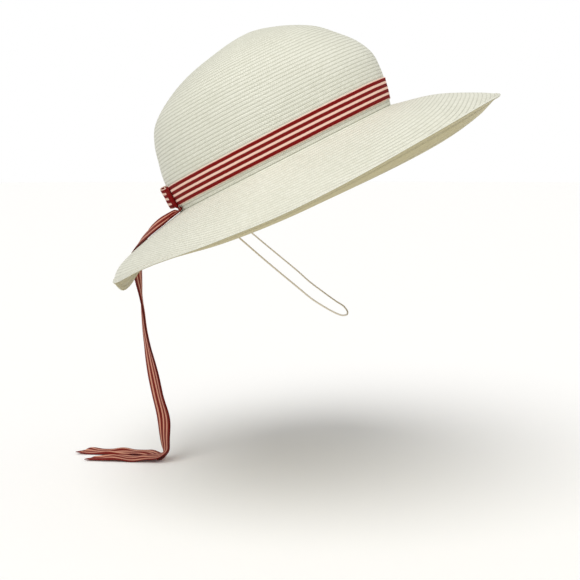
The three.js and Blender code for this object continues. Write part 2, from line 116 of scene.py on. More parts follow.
FALL_ROWS = (
    {"fall": 0.012, "forward": 0.000, "left": 0.00, "face": 14, "tilt": 15},
    {"fall": 0.050, "forward": 0.030, "left": 0.00, "face": 8, "tilt": 8},
    {"fall": 0.120, "forward": 0.090, "left": -0.01, "face": -1, "tilt": 2},
    {"fall": 0.210, "forward": 0.160, "left": -0.03, "face": -4, "tilt": 0},
    {"fall": 0.320, "forward": 0.235, "left": -0.06, "face": -10, "tilt": 0},
    {"fall": 0.430, "forward": 0.380, "left": -0.10, "face": -18, "tilt": 0},
    {"fall": 0.535, "forward": 0.535, "left": -0.14, "face": -21, "tilt": 0},
    {"fall": 0.660, "forward": 0.720, "left": -0.19, "face": -22, "tilt": 0},
    {"fall": 0.770, "forward": 0.915, "left": -0.22, "face": -26, "tilt": 0},
    {"fall": 0.875, "forward": 0.955, "left": -0.25, "face": -13, "tilt": 0},
    {"fall": 0.945, "forward": 1.000, "left": -0.26, "face": -5, "tilt": 0},
)

LIE_ROWS = (
    {"along": 0.04, "lift": 0.29, "beside": 0.12},
    {"along": 0.13, "lift": 0.17, "beside": 0.46},
    {"along": 0.26, "lift": 0.12, "beside": 0.98},
    {"along": 0.42, "lift": 0.02, "beside": 1.06},
    {"along": 0.60, "lift": 0.04, "beside": 1.04},
    {"along": 0.80, "lift": 0.01, "beside": 1.04},
    {"along": 1.00, "lift": 0.00, "beside": 1.04},
)

# Way of the elastic, in metres, from the right knot round under the chin to the middle.
ELASTIC_WAY = (
    (-0.0567, -0.053, -0.0485),
    (-0.0369, -0.058, -0.0646),
    (-0.0200, -0.061, -0.0790),
    (-0.0070, -0.062, -0.0899),
    (0.0115, -0.062, -0.1053),
    (0.0228, -0.058, -0.1150),
    (0.0369, -0.050, -0.1248),
    (0.0465, -0.040, -0.1306),
    (0.0520, -0.027, -0.1326),
    (0.0540, -0.013, -0.1334),
)
ELASTIC_MIDDLE = (0.0546, 0.0, -0.1337)


def spread(low: float, high: float, count: int) -> list[float]:
    """Evenly spread numbers from one value to another, both included."""
    return [low + (high - low) * i / (count - 1) for i in range(count)]


def cubic(b: float, c: float, slope_b: float, slope_c: float, f: float) -> float:
    """Value at share f of the way from b to c, with the slopes given there."""
    g = 1 - f
    return b * (1 + 2 * f) * g * g + slope_b * f * g * g + c * (3 - 2 * f) * f * f - slope_c * f * f * g


def through(values: Sequence[float], at: float) -> float:
    """Smooth curve through values that stand one apart.

    Args:
        values: The values that the curve passes through.
        at: Place on the curve, from 0 to the last.

    Returns:
        The value at that place.
    """
    last = len(values) - 1
    i = min(max(math.floor(at), 0), last - 1)

    def slope(k: int) -> float:
        """Slope of the curve at value k."""
        rise = values[min(k + 1, last)] - values[max(k - 1, 0)]
        return rise / (2 if 0 < k < last else 1)

    return cubic(values[i], values[i + 1], slope(i), slope(i + 1), at - i)


def between(rows: Sequence[dict[str, float]], at: float) -> dict[str, float]:
    """Row of a table at a place between its rows, with every column on a smooth curve."""
    return {name: through([row[name] for row in rows], at) for name in rows[0]}


def wave(x: float, y: float, seed: float) -> float:
    """Smooth uneven value from -1 to 1 for a place on a piece, the same on each run."""
    return noise.noise(Vector((x, y, seed)))


def lengths_along(points: Sequence[Vector]) -> list[float]:
    """Length from the first point of a line to each of its points."""
    lengths = [0.0]
    for here, there in zip(points, points[1:]):
        lengths.append(lengths[-1] + (there - here).length)
    return lengths


def in_scene(name: str, data: bpy.types.ID) -> bpy.types.Object:
    """New object in the scene for a mesh, a light or a camera."""
    made = bpy.data.objects.new(name, data)
    bpy.context.scene.collection.objects.link(made)
    return made


def linear(code: str) -> tuple[float, float, float, float]:
    """sRGB hex colour as the linear colour that shaders take."""
    parts = [int(code[i:i + 2], 16) / 255 for i in (1, 3, 5)]
    return (*[p / 12.92 if p <= 0.04045 else ((p + 0.055) / 1.055) ** 2.4 for p in parts], 1.0)


def add_node(tree: bpy.types.NodeTree, kind: str, settings: dict[str, Any] | None = None,
             inputs: dict[Any, Any] | None = None) -> bpy.types.Node:
    """Adds a node to a tree with its settings and links.

    Args:
        tree: The shader or geometry tree.
        kind: Blender's name of the node's kind.
        settings: Properties of the node.
        inputs: Input name or number to a value, or to the socket that feeds it.

    Returns:
        The new node.
    """
    made = tree.nodes.new(kind)
    for name, value in (settings or {}).items():
        setattr(made, name, value)
    for name, value in (inputs or {}).items():
        if isinstance(value, bpy.types.NodeSocket):
            tree.links.new(value, made.inputs[name])
        else:
            made.inputs[name].default_value = value
    return made


def new_material(name: str) -> tuple[bpy.types.Material, bpy.types.NodeTree]:
    """Empty material and its tree."""
    made = bpy.data.materials.new(name)
    made.use_nodes = True
    made.node_tree.nodes.clear()
    return made, made.node_tree


def add_surface(tree: bpy.types.NodeTree, inputs: dict[str, Any]) -> None:
    """Ends a material's tree with its surface shader, by the names of the shader's inputs."""
    shader = add_node(tree, "ShaderNodeBsdfPrincipled", inputs=inputs)
    add_node(tree, "ShaderNodeOutputMaterial", inputs={"Surface": shader.outputs[0]})


@dataclass(frozen=True)
class StrawBraid:
    """Bleached wheat straw, split and plaited into a 3 mm braid that is sewn in overlapping rows."""

    name: str
    gap_shade: float
    seam_shade: float
    light: str = "#F4F4E7"
    dark: str = "#DDDDCC"
    groove_shade: str = "#A9A995"
    # Tan of the unbleached underside, darkened further as painted shade
    yellow_and_shade: str = "#B8AC7C"
    slant: float = 0.85

    def build(self) -> bpy.types.Material:
        """Makes the material. UV is the number of the straw round the row and the number of the row."""
        made, tree = new_material(self.name)
        place = add_node(tree, "ShaderNodeTexCoord")
        split = add_node(tree, "ShaderNodeSeparateXYZ", inputs={0: place.outputs["UV"]})
        row_part = add_node(tree, MATH, {"operation": "FRACT"}, {0: split.outputs[1]})
        row_name = add_node(tree, MATH, {"operation": "FLOOR"}, {0: split.outputs[1]})
        centred = add_node(tree, MATH, MULTIPLY_ADD, {0: row_part.outputs[0], 1: 2.0, 2: -1.0})
        side = add_node(tree, MATH, {"operation": "ABSOLUTE"}, {0: centred.outputs[0]})
        # The straws run slantwise from the middle of the braid to both its edges
        row_shift = add_node(tree, "ShaderNodeTexWhiteNoise", {"noise_dimensions": "1D"},
                             {"W": row_name.outputs[0]})
        slanted = add_node(tree, MATH, MULTIPLY_ADD,
                           {0: side.outputs[0], 1: self.slant, 2: split.outputs[0]})
        straws = add_node(tree, MATH, {"operation": "ADD"},
                          {0: slanted.outputs[0], 1: row_shift.outputs[0]})
        straw_part = add_node(tree, MATH, {"operation": "FRACT"}, {0: straws.outputs[0]})
        straw_name = add_node(tree, MATH, {"operation": "FLOOR"}, {0: straws.outputs[0]})
        straw_mid = add_node(tree, MATH, MULTIPLY_ADD, {0: straw_part.outputs[0], 1: 2.0, 2: -1.0})
        straw_side = add_node(tree, MATH, {"operation": "ABSOLUTE"}, {0: straw_mid.outputs[0]})
        straw_dip = add_node(tree, MATH, {"operation": "POWER"}, {0: straw_side.outputs[0], 1: 2.2})
        # Each straw has a tint of its own
        identity = add_node(tree, "ShaderNodeCombineXYZ",
                            inputs={0: straw_name.outputs[0], 1: row_name.outputs[0]})
        tint = add_node(tree, "ShaderNodeTexWhiteNoise", {"noise_dimensions": "3D"},
                        {"Vector": identity.outputs[0]})
        cloud = add_node(tree, "ShaderNodeTexNoise",
                         inputs={"Vector": place.outputs["Object"], "Scale": 22.0, "Detail": 3.0})
        shade = add_node(tree, MATH, MULTIPLY_ADD, {0: tint.outputs["Value"], 1: 0.42, 2: -0.06})
        shade_more = add_node(tree, MATH, CLAMPED_ADD,
                              {0: cloud.outputs["Fac"], 1: 0.45, 2: shade.outputs[0]})
        straw = add_node(tree, MIX, COLOURS,
                         {0: shade_more.outputs[0], 6: linear(self.light), 7: linear(self.dark)})
        # Painted shade: the straw is darker in the dips between straws and in the grooves where the rows
        # meet
        groove_share = add_node(tree, MATH, {"operation": "POWER"}, {0: side.outputs[0], 1: 6.0})
        dips = add_node(tree, MATH, MULTIPLY_ADD, {0: straw_dip.outputs[0], 1: self.gap_shade, 2: 0.0})
        painted_shade_share = add_node(tree, MATH, CLAMPED_ADD,
                              {0: groove_share.outputs[0], 1: self.seam_shade, 2: dips.outputs[0]})
        colour = add_node(tree, MIX, COLOURS,
                          {0: painted_shade_share.outputs[0], 6: straw.outputs[2], 7: linear(self.groove_shade)})
        # Painted shade and a yellower tone on the side away from the light: the unbleached underside has
        # more of the straw's yellow, and the shade that falls there is painted in as a darker tan
        inside = add_node(tree, MATH, {"operation": "GREATER_THAN"},
                          {0: split.outputs[1], 1: INSIDE_ROWS - 10.0})
        yellow_and_shade_share = add_node(tree, MATH, MULTIPLY, {0: inside.outputs[0], 1: 0.85})
        finish = add_node(tree, MIX, COLOURS,
                          {0: yellow_and_shade_share.outputs[0], 6: colour.outputs[2], 7: linear(self.yellow_and_shade)})
        # Relief of the plait: straws stand up between the dips and fall away at the braid's edges
        fibre = add_node(tree, "ShaderNodeTexNoise",
                         inputs={"Vector": place.outputs["Object"], "Scale": 2600.0, "Detail": 2.0})
        height = add_node(tree, MATH, MULTIPLY_ADD, {0: fibre.outputs["Fac"], 1: 0.22, 2: 0.9})
        height_dip = add_node(tree, MATH, {"operation": "SUBTRACT"},
                              {0: height.outputs[0], 1: straw_dip.outputs[0]})
        height_row = add_node(tree, MATH, {"operation": "SUBTRACT"},
                              {0: height_dip.outputs[0], 1: groove_share.outputs[0]})
        bump = add_node(tree, "ShaderNodeBump",
                        inputs={"Strength": 0.7, "Distance": 0.00022, "Height": height_row.outputs[0]})
        add_surface(tree, {"Base Color": finish.outputs[2], "Normal": bump.outputs[0], "Roughness": 0.52,
                           "IOR": 1.5, "Specular IOR Level": 0.4, "Sheen Weight": 0.08})
        return made


@dataclass(frozen=True)
class GrosgrainRibbon:
    """Ribbed cotton and rayon ribbon with woven stripes, four dark red and three pale pink."""

    name: str
    dark: str
    light: str
    edge: str
    rib: float = 0.85
    stripe: float = 2.34
    selvage: float = 0.8
    width: float = 18.0
    uneven: float = 0.25
    soil: float = 0.05
    roughness: float = 0.8
    sheen: float = 0.0

    def build(self) -> bpy.types.Material:
        """Makes the material. UV is the length along the ribbon in millimetres and the share across."""
        made, tree = new_material(self.name)
        place = add_node(tree, "ShaderNodeTexCoord")
        split = add_node(tree, "ShaderNodeSeparateXYZ", inputs={0: place.outputs["UV"]})
        wander = add_node(tree, "ShaderNodeTexNoise",
                          inputs={"Vector": place.outputs["UV"], "Scale": 0.35, "Detail": 1.0})
        shift = add_node(tree, MATH, MULTIPLY_ADD,
                         {0: wander.outputs["Fac"], 1: 0.12, 2: -self.selvage / self.stripe - 0.06})
        number = add_node(tree, MATH, MULTIPLY_ADD,
                          {0: split.outputs[1], 1: self.width / self.stripe, 2: shift.outputs[0]})
        turn = add_node(tree, MATH, MULTIPLY, {0: number.outputs[0], 1: math.pi})
        swing = add_node(tree, MATH, {"operation": "SINE"}, {0: turn.outputs[0]})
        is_dark = add_node(tree, "ShaderNodeMapRange", {"interpolation_type": "SMOOTHSTEP"},
                           {0: swing.outputs[0], 1: -0.48, 2: -0.1})
        # Ribs across the ribbon, one for each thick weft thread
        along = add_node(tree, MATH, MULTIPLY, {0: split.outputs[0], 1: 2 * math.pi / self.rib})
        ribs = add_node(tree, MATH, {"operation": "SINE"}, {0: along.outputs[0]})
        thread_place = add_node(tree, "ShaderNodeMapping",
                                inputs={"Vector": place.outputs["UV"], "Scale": (0.7, 46.0, 1.0)})
        threads = add_node(tree, "ShaderNodeTexNoise",
                           inputs={"Vector": thread_place.outputs[0], "Scale": 1.0, "Detail": 3.0})
        cloud = add_node(tree, "ShaderNodeTexNoise",
                         inputs={"Vector": place.outputs["Object"], "Scale": 60.0, "Detail": 2.0})
        stripes = add_node(tree, MIX, COLOURS,
                           {0: is_dark.outputs[0], 6: linear(self.light), 7: linear(self.dark)})
        pale = add_node(tree, MATH, {"operation": "SUBTRACT"}, {0: threads.outputs["Fac"], 1: 0.5})
        worn = add_node(tree, MATH, {"operation": "MULTIPLY", "use_clamp": True},
                        {0: pale.outputs[0], 1: self.uneven})
        woven = add_node(tree, MIX, COLOURS,
                         {0: worn.outputs[0], 6: stripes.outputs[2], 7: linear(self.edge)})
        # Painted shade in the troughs between the ribs, with real soiling in uneven clouds, both towards a
        # near-black red
        rib_trough_shade = add_node(tree, MATH, CLAMPED_ADD,
                        {0: ribs.outputs[0], 1: -0.06, 2: 0.0})
        soil_and_rib_shade = add_node(tree, MATH, CLAMPED_ADD,
                          {0: cloud.outputs["Fac"], 1: self.soil, 2: rib_trough_shade.outputs[0]})
        colour = add_node(tree, MIX, COLOURS,
                          {0: soil_and_rib_shade.outputs[0], 6: woven.outputs[2], 7: linear("#3A0B08")})
        height = add_node(tree, MATH, MULTIPLY_ADD,
                          {0: threads.outputs["Fac"], 1: 0.5, 2: ribs.outputs[0]})
        bump = add_node(tree, "ShaderNodeBump",
                        inputs={"Strength": 0.5, "Distance": 0.00012, "Height": height.outputs[0]})
        add_surface(tree, {"Base Color": colour.outputs[2], "Normal": bump.outputs[0],
                           "Roughness": self.roughness, "Specular IOR Level": 0.15,
                           "Sheen Weight": self.sheen, "Sheen Roughness": 0.4,
                           "Sheen Tint": linear("#FFD9CC")})
        return made


@dataclass(frozen=True)
class BraidedElastic:
    """Round elastic with a braided cotton cover over rubber."""

    name: str = "braided cotton elastic"
    light: str = "#F0E8D6"
    dark: str = "#CDBFA4"

    def build(self) -> bpy.types.Material:
        """Makes the material. UV is the length along in millimetres and the share round the cord."""
        made, tree = new_material(self.name)
        place = add_node(tree, "ShaderNodeTexCoord")
        split = add_node(tree, "ShaderNodeSeparateXYZ", inputs={0: place.outputs["UV"]})
        # Two sets of threads cross each other, one turn of the cover in 2.4 mm
        right = add_node(tree, MATH, MULTIPLY_ADD, {0: split.outputs[0], 1: 2.6, 2: split.outputs[1]})
        around = add_node(tree, MATH, MULTIPLY, {0: split.outputs[1], 1: 4 * 2 * math.pi})
        first = add_node(tree, MATH, MULTIPLY_ADD, {0: right.outputs[0], 1: 2.6, 2: around.outputs[0]})
        second = add_node(tree, MATH, MULTIPLY_ADD,
                          {0: right.outputs[0], 1: -2.6, 2: around.outputs[0]})
        one = add_node(tree, MATH, {"operation": "SINE"}, {0: first.outputs[0]})
        two = add_node(tree, MATH, {"operation": "SINE"}, {0: second.outputs[0]})
        both = add_node(tree, MATH, MULTIPLY, {0: one.outputs[0], 1: two.outputs[0]})
        share = add_node(tree, "ShaderNodeMapRange", inputs={0: both.outputs[0], 1: -1.0, 2: 1.0})
        # Painted shade: the cover is darker where the crossing threads sink, following the relief
        colour = add_node(tree, MIX, COLOURS,
                          {0: share.outputs[0], 6: linear(self.dark), 7: linear(self.light)})
        bump = add_node(tree, "ShaderNodeBump",
                        inputs={"Strength": 0.6, "Distance": 0.0001, "Height": both.outputs[0]})
        add_surface(tree, {"Base Color": colour.outputs[2], "Normal": bump.outputs[0], "Roughness": 0.7,
                           "Sheen Weight": 0.2})
        return made


@dataclass(frozen=True)
class SewingThread:
    """Bleached cotton sewing thread, mercerised, with a soft shine."""

    name: str = "bleached cotton thread"
    colour: str = "#EFEBDC"

    def build(self) -> bpy.types.Material:
        """Makes the material, with the twist of the thread as fine relief."""
        made, tree = new_material(self.name)
        place = add_node(tree, "ShaderNodeTexCoord")
        twist = add_node(tree, "ShaderNodeTexNoise",
                         inputs={"Vector": place.outputs["Object"], "Scale": 3200.0, "Detail": 2.0})
        colour = add_node(tree, MIX, COLOURS,
                          {0: twist.outputs["Fac"], 6: linear(self.colour), 7: linear("#CFC9B2")})
        bump = add_node(tree, "ShaderNodeBump",
                        inputs={"Strength": 0.4, "Distance": 0.00006, "Height": twist.outputs["Fac"]})
        add_surface(tree, {"Base Color": colour.outputs[2], "Normal": bump.outputs[0], "Roughness": 0.5})
        return made


@dataclass(frozen=True)
class StudioPaper:
    """Matt white seamless paper on the studio floor."""

    name: str = "matt white seamless paper"
    colour: str = "#FEFEFE"

    def build(self) -> bpy.types.Material:
        """Makes the material."""
        made, tree = new_material(self.name)
        add_surface(tree, {"Base Color": linear(self.colour), "Roughness": 0.9, "Specular IOR Level": 0.1})
        return made


UvRule = Callable[[int, int, int], tuple[float, float]]


def lofted(name: str, loops: Sequence[Sequence[Vector]], uv: UvRule,
           joined: bool = False) -> bpy.types.Object:
    """Closed smooth solid skinned over loops of points in millimetres.

    Args:
        name: Name of the piece.
        loops: Loops with the same number of points each.
        uv: Gives UV from the number of the face's loop, the corner's loop and the corner's point.
        joined: Runs on from the last loop to the first. Otherwise each end is closed at its middle.

    Returns:
        The new object, in the scene, at the origin.
    """
    size = len(loops[0])
    points = [point * MM for loop in loops for point in loop]
    faces: list[tuple[int, ...]] = []
    corners: list[tuple[float, float]] = []
    for i in range(len(loops) - (0 if joined else 1)):
        k = (i + 1) % len(loops)
        for j in range(size):
            n = (j + 1) % size
            faces.append((i * size + j, i * size + n, k * size + n, k * size + j))
            corners += [uv(i, i, j), uv(i, i, j + 1), uv(i, i + 1, j + 1), uv(i, i + 1, j)]
    for end in () if joined else (0, len(loops) - 1):
        points.append(sum(loops[end], Vector()) / size * MM)
        for j in range(size):
            pair = (end * size + j, end * size + (j + 1) % size)
            faces.append((len(points) - 1, *(pair[::-1] if end == 0 else pair)))
            near = [uv(min(end, len(loops) - 2), end, j), uv(min(end, len(loops) - 2), end, j + 1)]
            middle = ((near[0][0] + near[1][0]) / 2, near[0][1])
            corners += [middle, *(near[::-1] if end == 0 else near)]
    mesh = bpy.data.meshes.new(name)
    mesh.from_pydata([tuple(point) for point in points], [], faces)
    layer = mesh.uv_layers.new(name="UVMap")
    layer.data.foreach_set("uv", [value for corner in corners for value in corner])
    turned = bmesh.new()
    turned.from_mesh(mesh)
    if turned.calc_volume(signed=True) < 0:
        bmesh.ops.reverse_faces(turned, faces=turned.faces[:])
    turned.to_mesh(mesh)
    turned.free()
    mesh.polygons.foreach_set("use_smooth", [True] * len(mesh.polygons))
    mesh.update()
    return in_scene(name, mesh)


def ribbon_uv(lengths: Sequence[float], across: int) -> UvRule:
    """UV rule of a ribbon whose loops run over its one face and back over the other.

    Args:
        lengths: Length along the ribbon at each loop.
        across: Number of points from edge to edge.

    Returns:
        The rule, which gives the length along the ribbon and the share across it.
    """

    def uv(_face: int, loop: int, point: int) -> tuple[float, float]:
        """Length along the ribbon and share across it."""
        j = point % (2 * across)
        k = j if j < across else 2 * across - 1 - j
        return lengths[min(loop, len(lengths) - 1)], k / (across - 1)

    return uv


def set_values(piece: bpy.types.Object, name: str, values: Sequence[float]) -> None:
    """Stores a number for each point of a piece, which Geometry Nodes then read."""
    layer = piece.data.attributes.new(name, "FLOAT", "POINT")
    layer.data.foreach_set("value", list(values) + [0.0] * (len(piece.data.vertices) - len(values)))


@dataclass
class NodeRecipe:
    """Geometry Nodes tree with named inputs, run on a piece and applied to its mesh."""

    name: str
    tree: bpy.types.NodeTree = field(init=False)
    start: bpy.types.Node = field(init=False)

    def __post_init__(self) -> None:
        """Makes the empty tree with its geometry sockets."""
        self.tree = bpy.data.node_groups.new(self.name, "GeometryNodeTree")
        for way in ("INPUT", "OUTPUT"):
            self.tree.interface.new_socket(name="Geometry", in_out=way, socket_type="NodeSocketGeometry")

    def take(self, name: str, kind: str) -> None:
        """Adds a named input of a socket kind, such as NodeSocketFloat."""
        self.tree.interface.new_socket(name=name, in_out="INPUT", socket_type=kind)

    def begin(self) -> bpy.types.Node:
        """Adds the node that gives the inputs, once all are named."""
        self.start = add_node(self.tree, "NodeGroupInput")
        return self.start

    def end(self, shape: bpy.types.NodeSocket, material: bpy.types.NodeSocket) -> None:
        """Closes the tree with the realised shape in its material."""
        real = add_node(self.tree, "GeometryNodeRealizeInstances", inputs={0: shape})
        dressed = add_node(self.tree, "GeometryNodeSetMaterial",
                           inputs={"Geometry": real.outputs[0], "Material": material})
        add_node(self.tree, "NodeGroupOutput", inputs={0: dressed.outputs[0]})

    def apply(self, piece: bpy.types.Object, values: dict[str, Any]) -> bpy.types.Object:
        """Runs the tree on a piece and keeps the result as its plain mesh.

        Args:
            piece: The object whose mesh goes in.
            values: Value of each named input.

        Returns:
            The same object, with its new mesh and no modifier.
        """
        modifier = piece.modifiers.new(self.name, "NODES")
        modifier.node_group = self.tree
        for item in self.tree.interface.items_tree:
            if item.item_type == "SOCKET" and item.in_out == "INPUT" and item.name in values:
                modifier[item.identifier] = values[item.name]
        bpy.context.view_layer.update()
        graph = bpy.context.evaluated_depsgraph_get()
        mesh = bpy.data.meshes.new_from_object(piece.evaluated_get(graph))
        piece.modifiers.clear()
        piece.data = mesh
        mesh.name = piece.name
        mesh.polygons.foreach_set("use_smooth", [True] * len(mesh.polygons))
        return piece


def braid_relief() -> NodeRecipe:
    """Recipe that raises each sewn row of braid and lets its edges sink into the seam."""
    recipe = NodeRecipe("sewn braid rows")
    recipe.take("Row Relief", "NodeSocketFloat")
    recipe.take("Sharpness", "NodeSocketFloat")
    recipe.take("Material", "NodeSocketMaterial")
    tree, start = recipe.tree, recipe.begin()
    row = add_node(tree, "GeometryNodeInputNamedAttribute", {"data_type": "FLOAT"}, {"Name": "row"})
    weight = add_node(tree, "GeometryNodeInputNamedAttribute", {"data_type": "FLOAT"},
                      {"Name": "relief"})
    part = add_node(tree, MATH, {"operation": "FRACT"}, {0: row.outputs[0]})
    centred = add_node(tree, MATH, MULTIPLY_ADD, {0: part.outputs[0], 1: 2.0, 2: -1.0})
    side = add_node(tree, MATH, {"operation": "ABSOLUTE"}, {0: centred.outputs[0]})
    fall = add_node(tree, MATH, {"operation": "POWER"},
                    {0: side.outputs[0], 1: start.outputs["Sharpness"]})
    crest = add_node(tree, MATH, {"operation": "SUBTRACT"}, {0: 1.0, 1: fall.outputs[0]})
    weighed = add_node(tree, MATH, MULTIPLY, {0: crest.outputs[0], 1: weight.outputs[0]})
    height = add_node(tree, MATH, MULTIPLY, {0: weighed.outputs[0], 1: start.outputs["Row Relief"]})
    normal = add_node(tree, "GeometryNodeInputNormal")
    offset = add_node(tree, "ShaderNodeVectorMath", {"operation": "SCALE"},
                      {0: normal.outputs[0], "Scale": height.outputs[0]})
    moved = add_node(tree, "GeometryNodeSetPosition",
                     inputs={"Geometry": start.outputs["Geometry"], "Offset": offset.outputs[0]})
    recipe.end(moved.outputs[0], start.outputs["Material"])
    return recipe


def running_stitch() -> NodeRecipe:
    """Recipe that lays stitches of thread along a chain of edges."""
    recipe = NodeRecipe("running stitch")
    recipe.take("Spacing", "NodeSocketFloat")
    recipe.take("Stitch Length", "NodeSocketFloat")
    recipe.take("Thread", "NodeSocketFloat")
    recipe.take("Seed", "NodeSocketInt")
    recipe.take("Material", "NodeSocketMaterial")
    tree, start = recipe.tree, recipe.begin()
    curve = add_node(tree, "GeometryNodeMeshToCurve", inputs={0: start.outputs["Geometry"]})
    even = add_node(tree, "GeometryNodeResampleCurve", {"mode": "LENGTH"},
                    {"Curve": curve.outputs[0], "Length": start.outputs["Spacing"]})
    ball = add_node(tree, "GeometryNodeMeshUVSphere", inputs={"Segments": 6, "Rings": 4, "Radius": 0.5})
    tangent = add_node(tree, "GeometryNodeInputTangent")
    turn = add_node(tree, "FunctionNodeAlignRotationToVector", {"axis": "X"},
                    {"Vector": tangent.outputs[0]})
    uneven = add_node(tree, "FunctionNodeRandomValue", {"data_type": "FLOAT"},
                      {2: 0.85, 3: 1.12, "Seed": start.outputs["Seed"]})
    long = add_node(tree, MATH, MULTIPLY, {0: start.outputs["Stitch Length"], 1: uneven.outputs[1]})
    scale = add_node(tree, "ShaderNodeCombineXYZ",
                     inputs={0: long.outputs[0], 1: start.outputs["Thread"],
                             2: start.outputs["Thread"]})
    laid = add_node(tree, "GeometryNodeInstanceOnPoints", inputs={
        "Points": even.outputs[0], "Instance": ball.outputs[0], "Rotation": turn.outputs[0],
        "Scale": scale.outputs[0]})
    recipe.end(laid.outputs[0], start.outputs["Material"])
    return recipe


def chain_of_edges(name: str, points: Sequence[Vector], closed: bool) -> bpy.types.Object:
    """Object of edges along points in millimetres, for a recipe that follows a path."""
    mesh = bpy.data.meshes.new(name)
    edges = [(i, i + 1) for i in range(len(points) - 1)] + ([(len(points) - 1, 0)] if closed else [])
    mesh.from_pydata([tuple(point * MM) for point in points], edges, [])
    return in_scene(name, mesh)


def shown_as(piece: bpy.types.Object, node: str, slot: str,
             material: bpy.types.Material | None = None) -> bpy.types.Object:
    """Puts a finished piece in place of its plain solid and reports it.

    Args:
        piece: The finished piece.
        node: Name of the solid that it stands for, or nothing for an added piece.
        slot: Slot of the record that gives its finish. Not used.
        material: Finish of the piece, unless it already has it.

    Returns:
        The same piece.
    """
    if material is not None:
        piece.data.materials.clear()
        piece.data.materials.append(material)
    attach(piece, "root")
    if node:
        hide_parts(node)
    triangles = sum(len(face.vertices) - 2 for face in piece.data.polygons)
    LOG.info("%s: %d triangles", piece.name, triangles)
    return piece


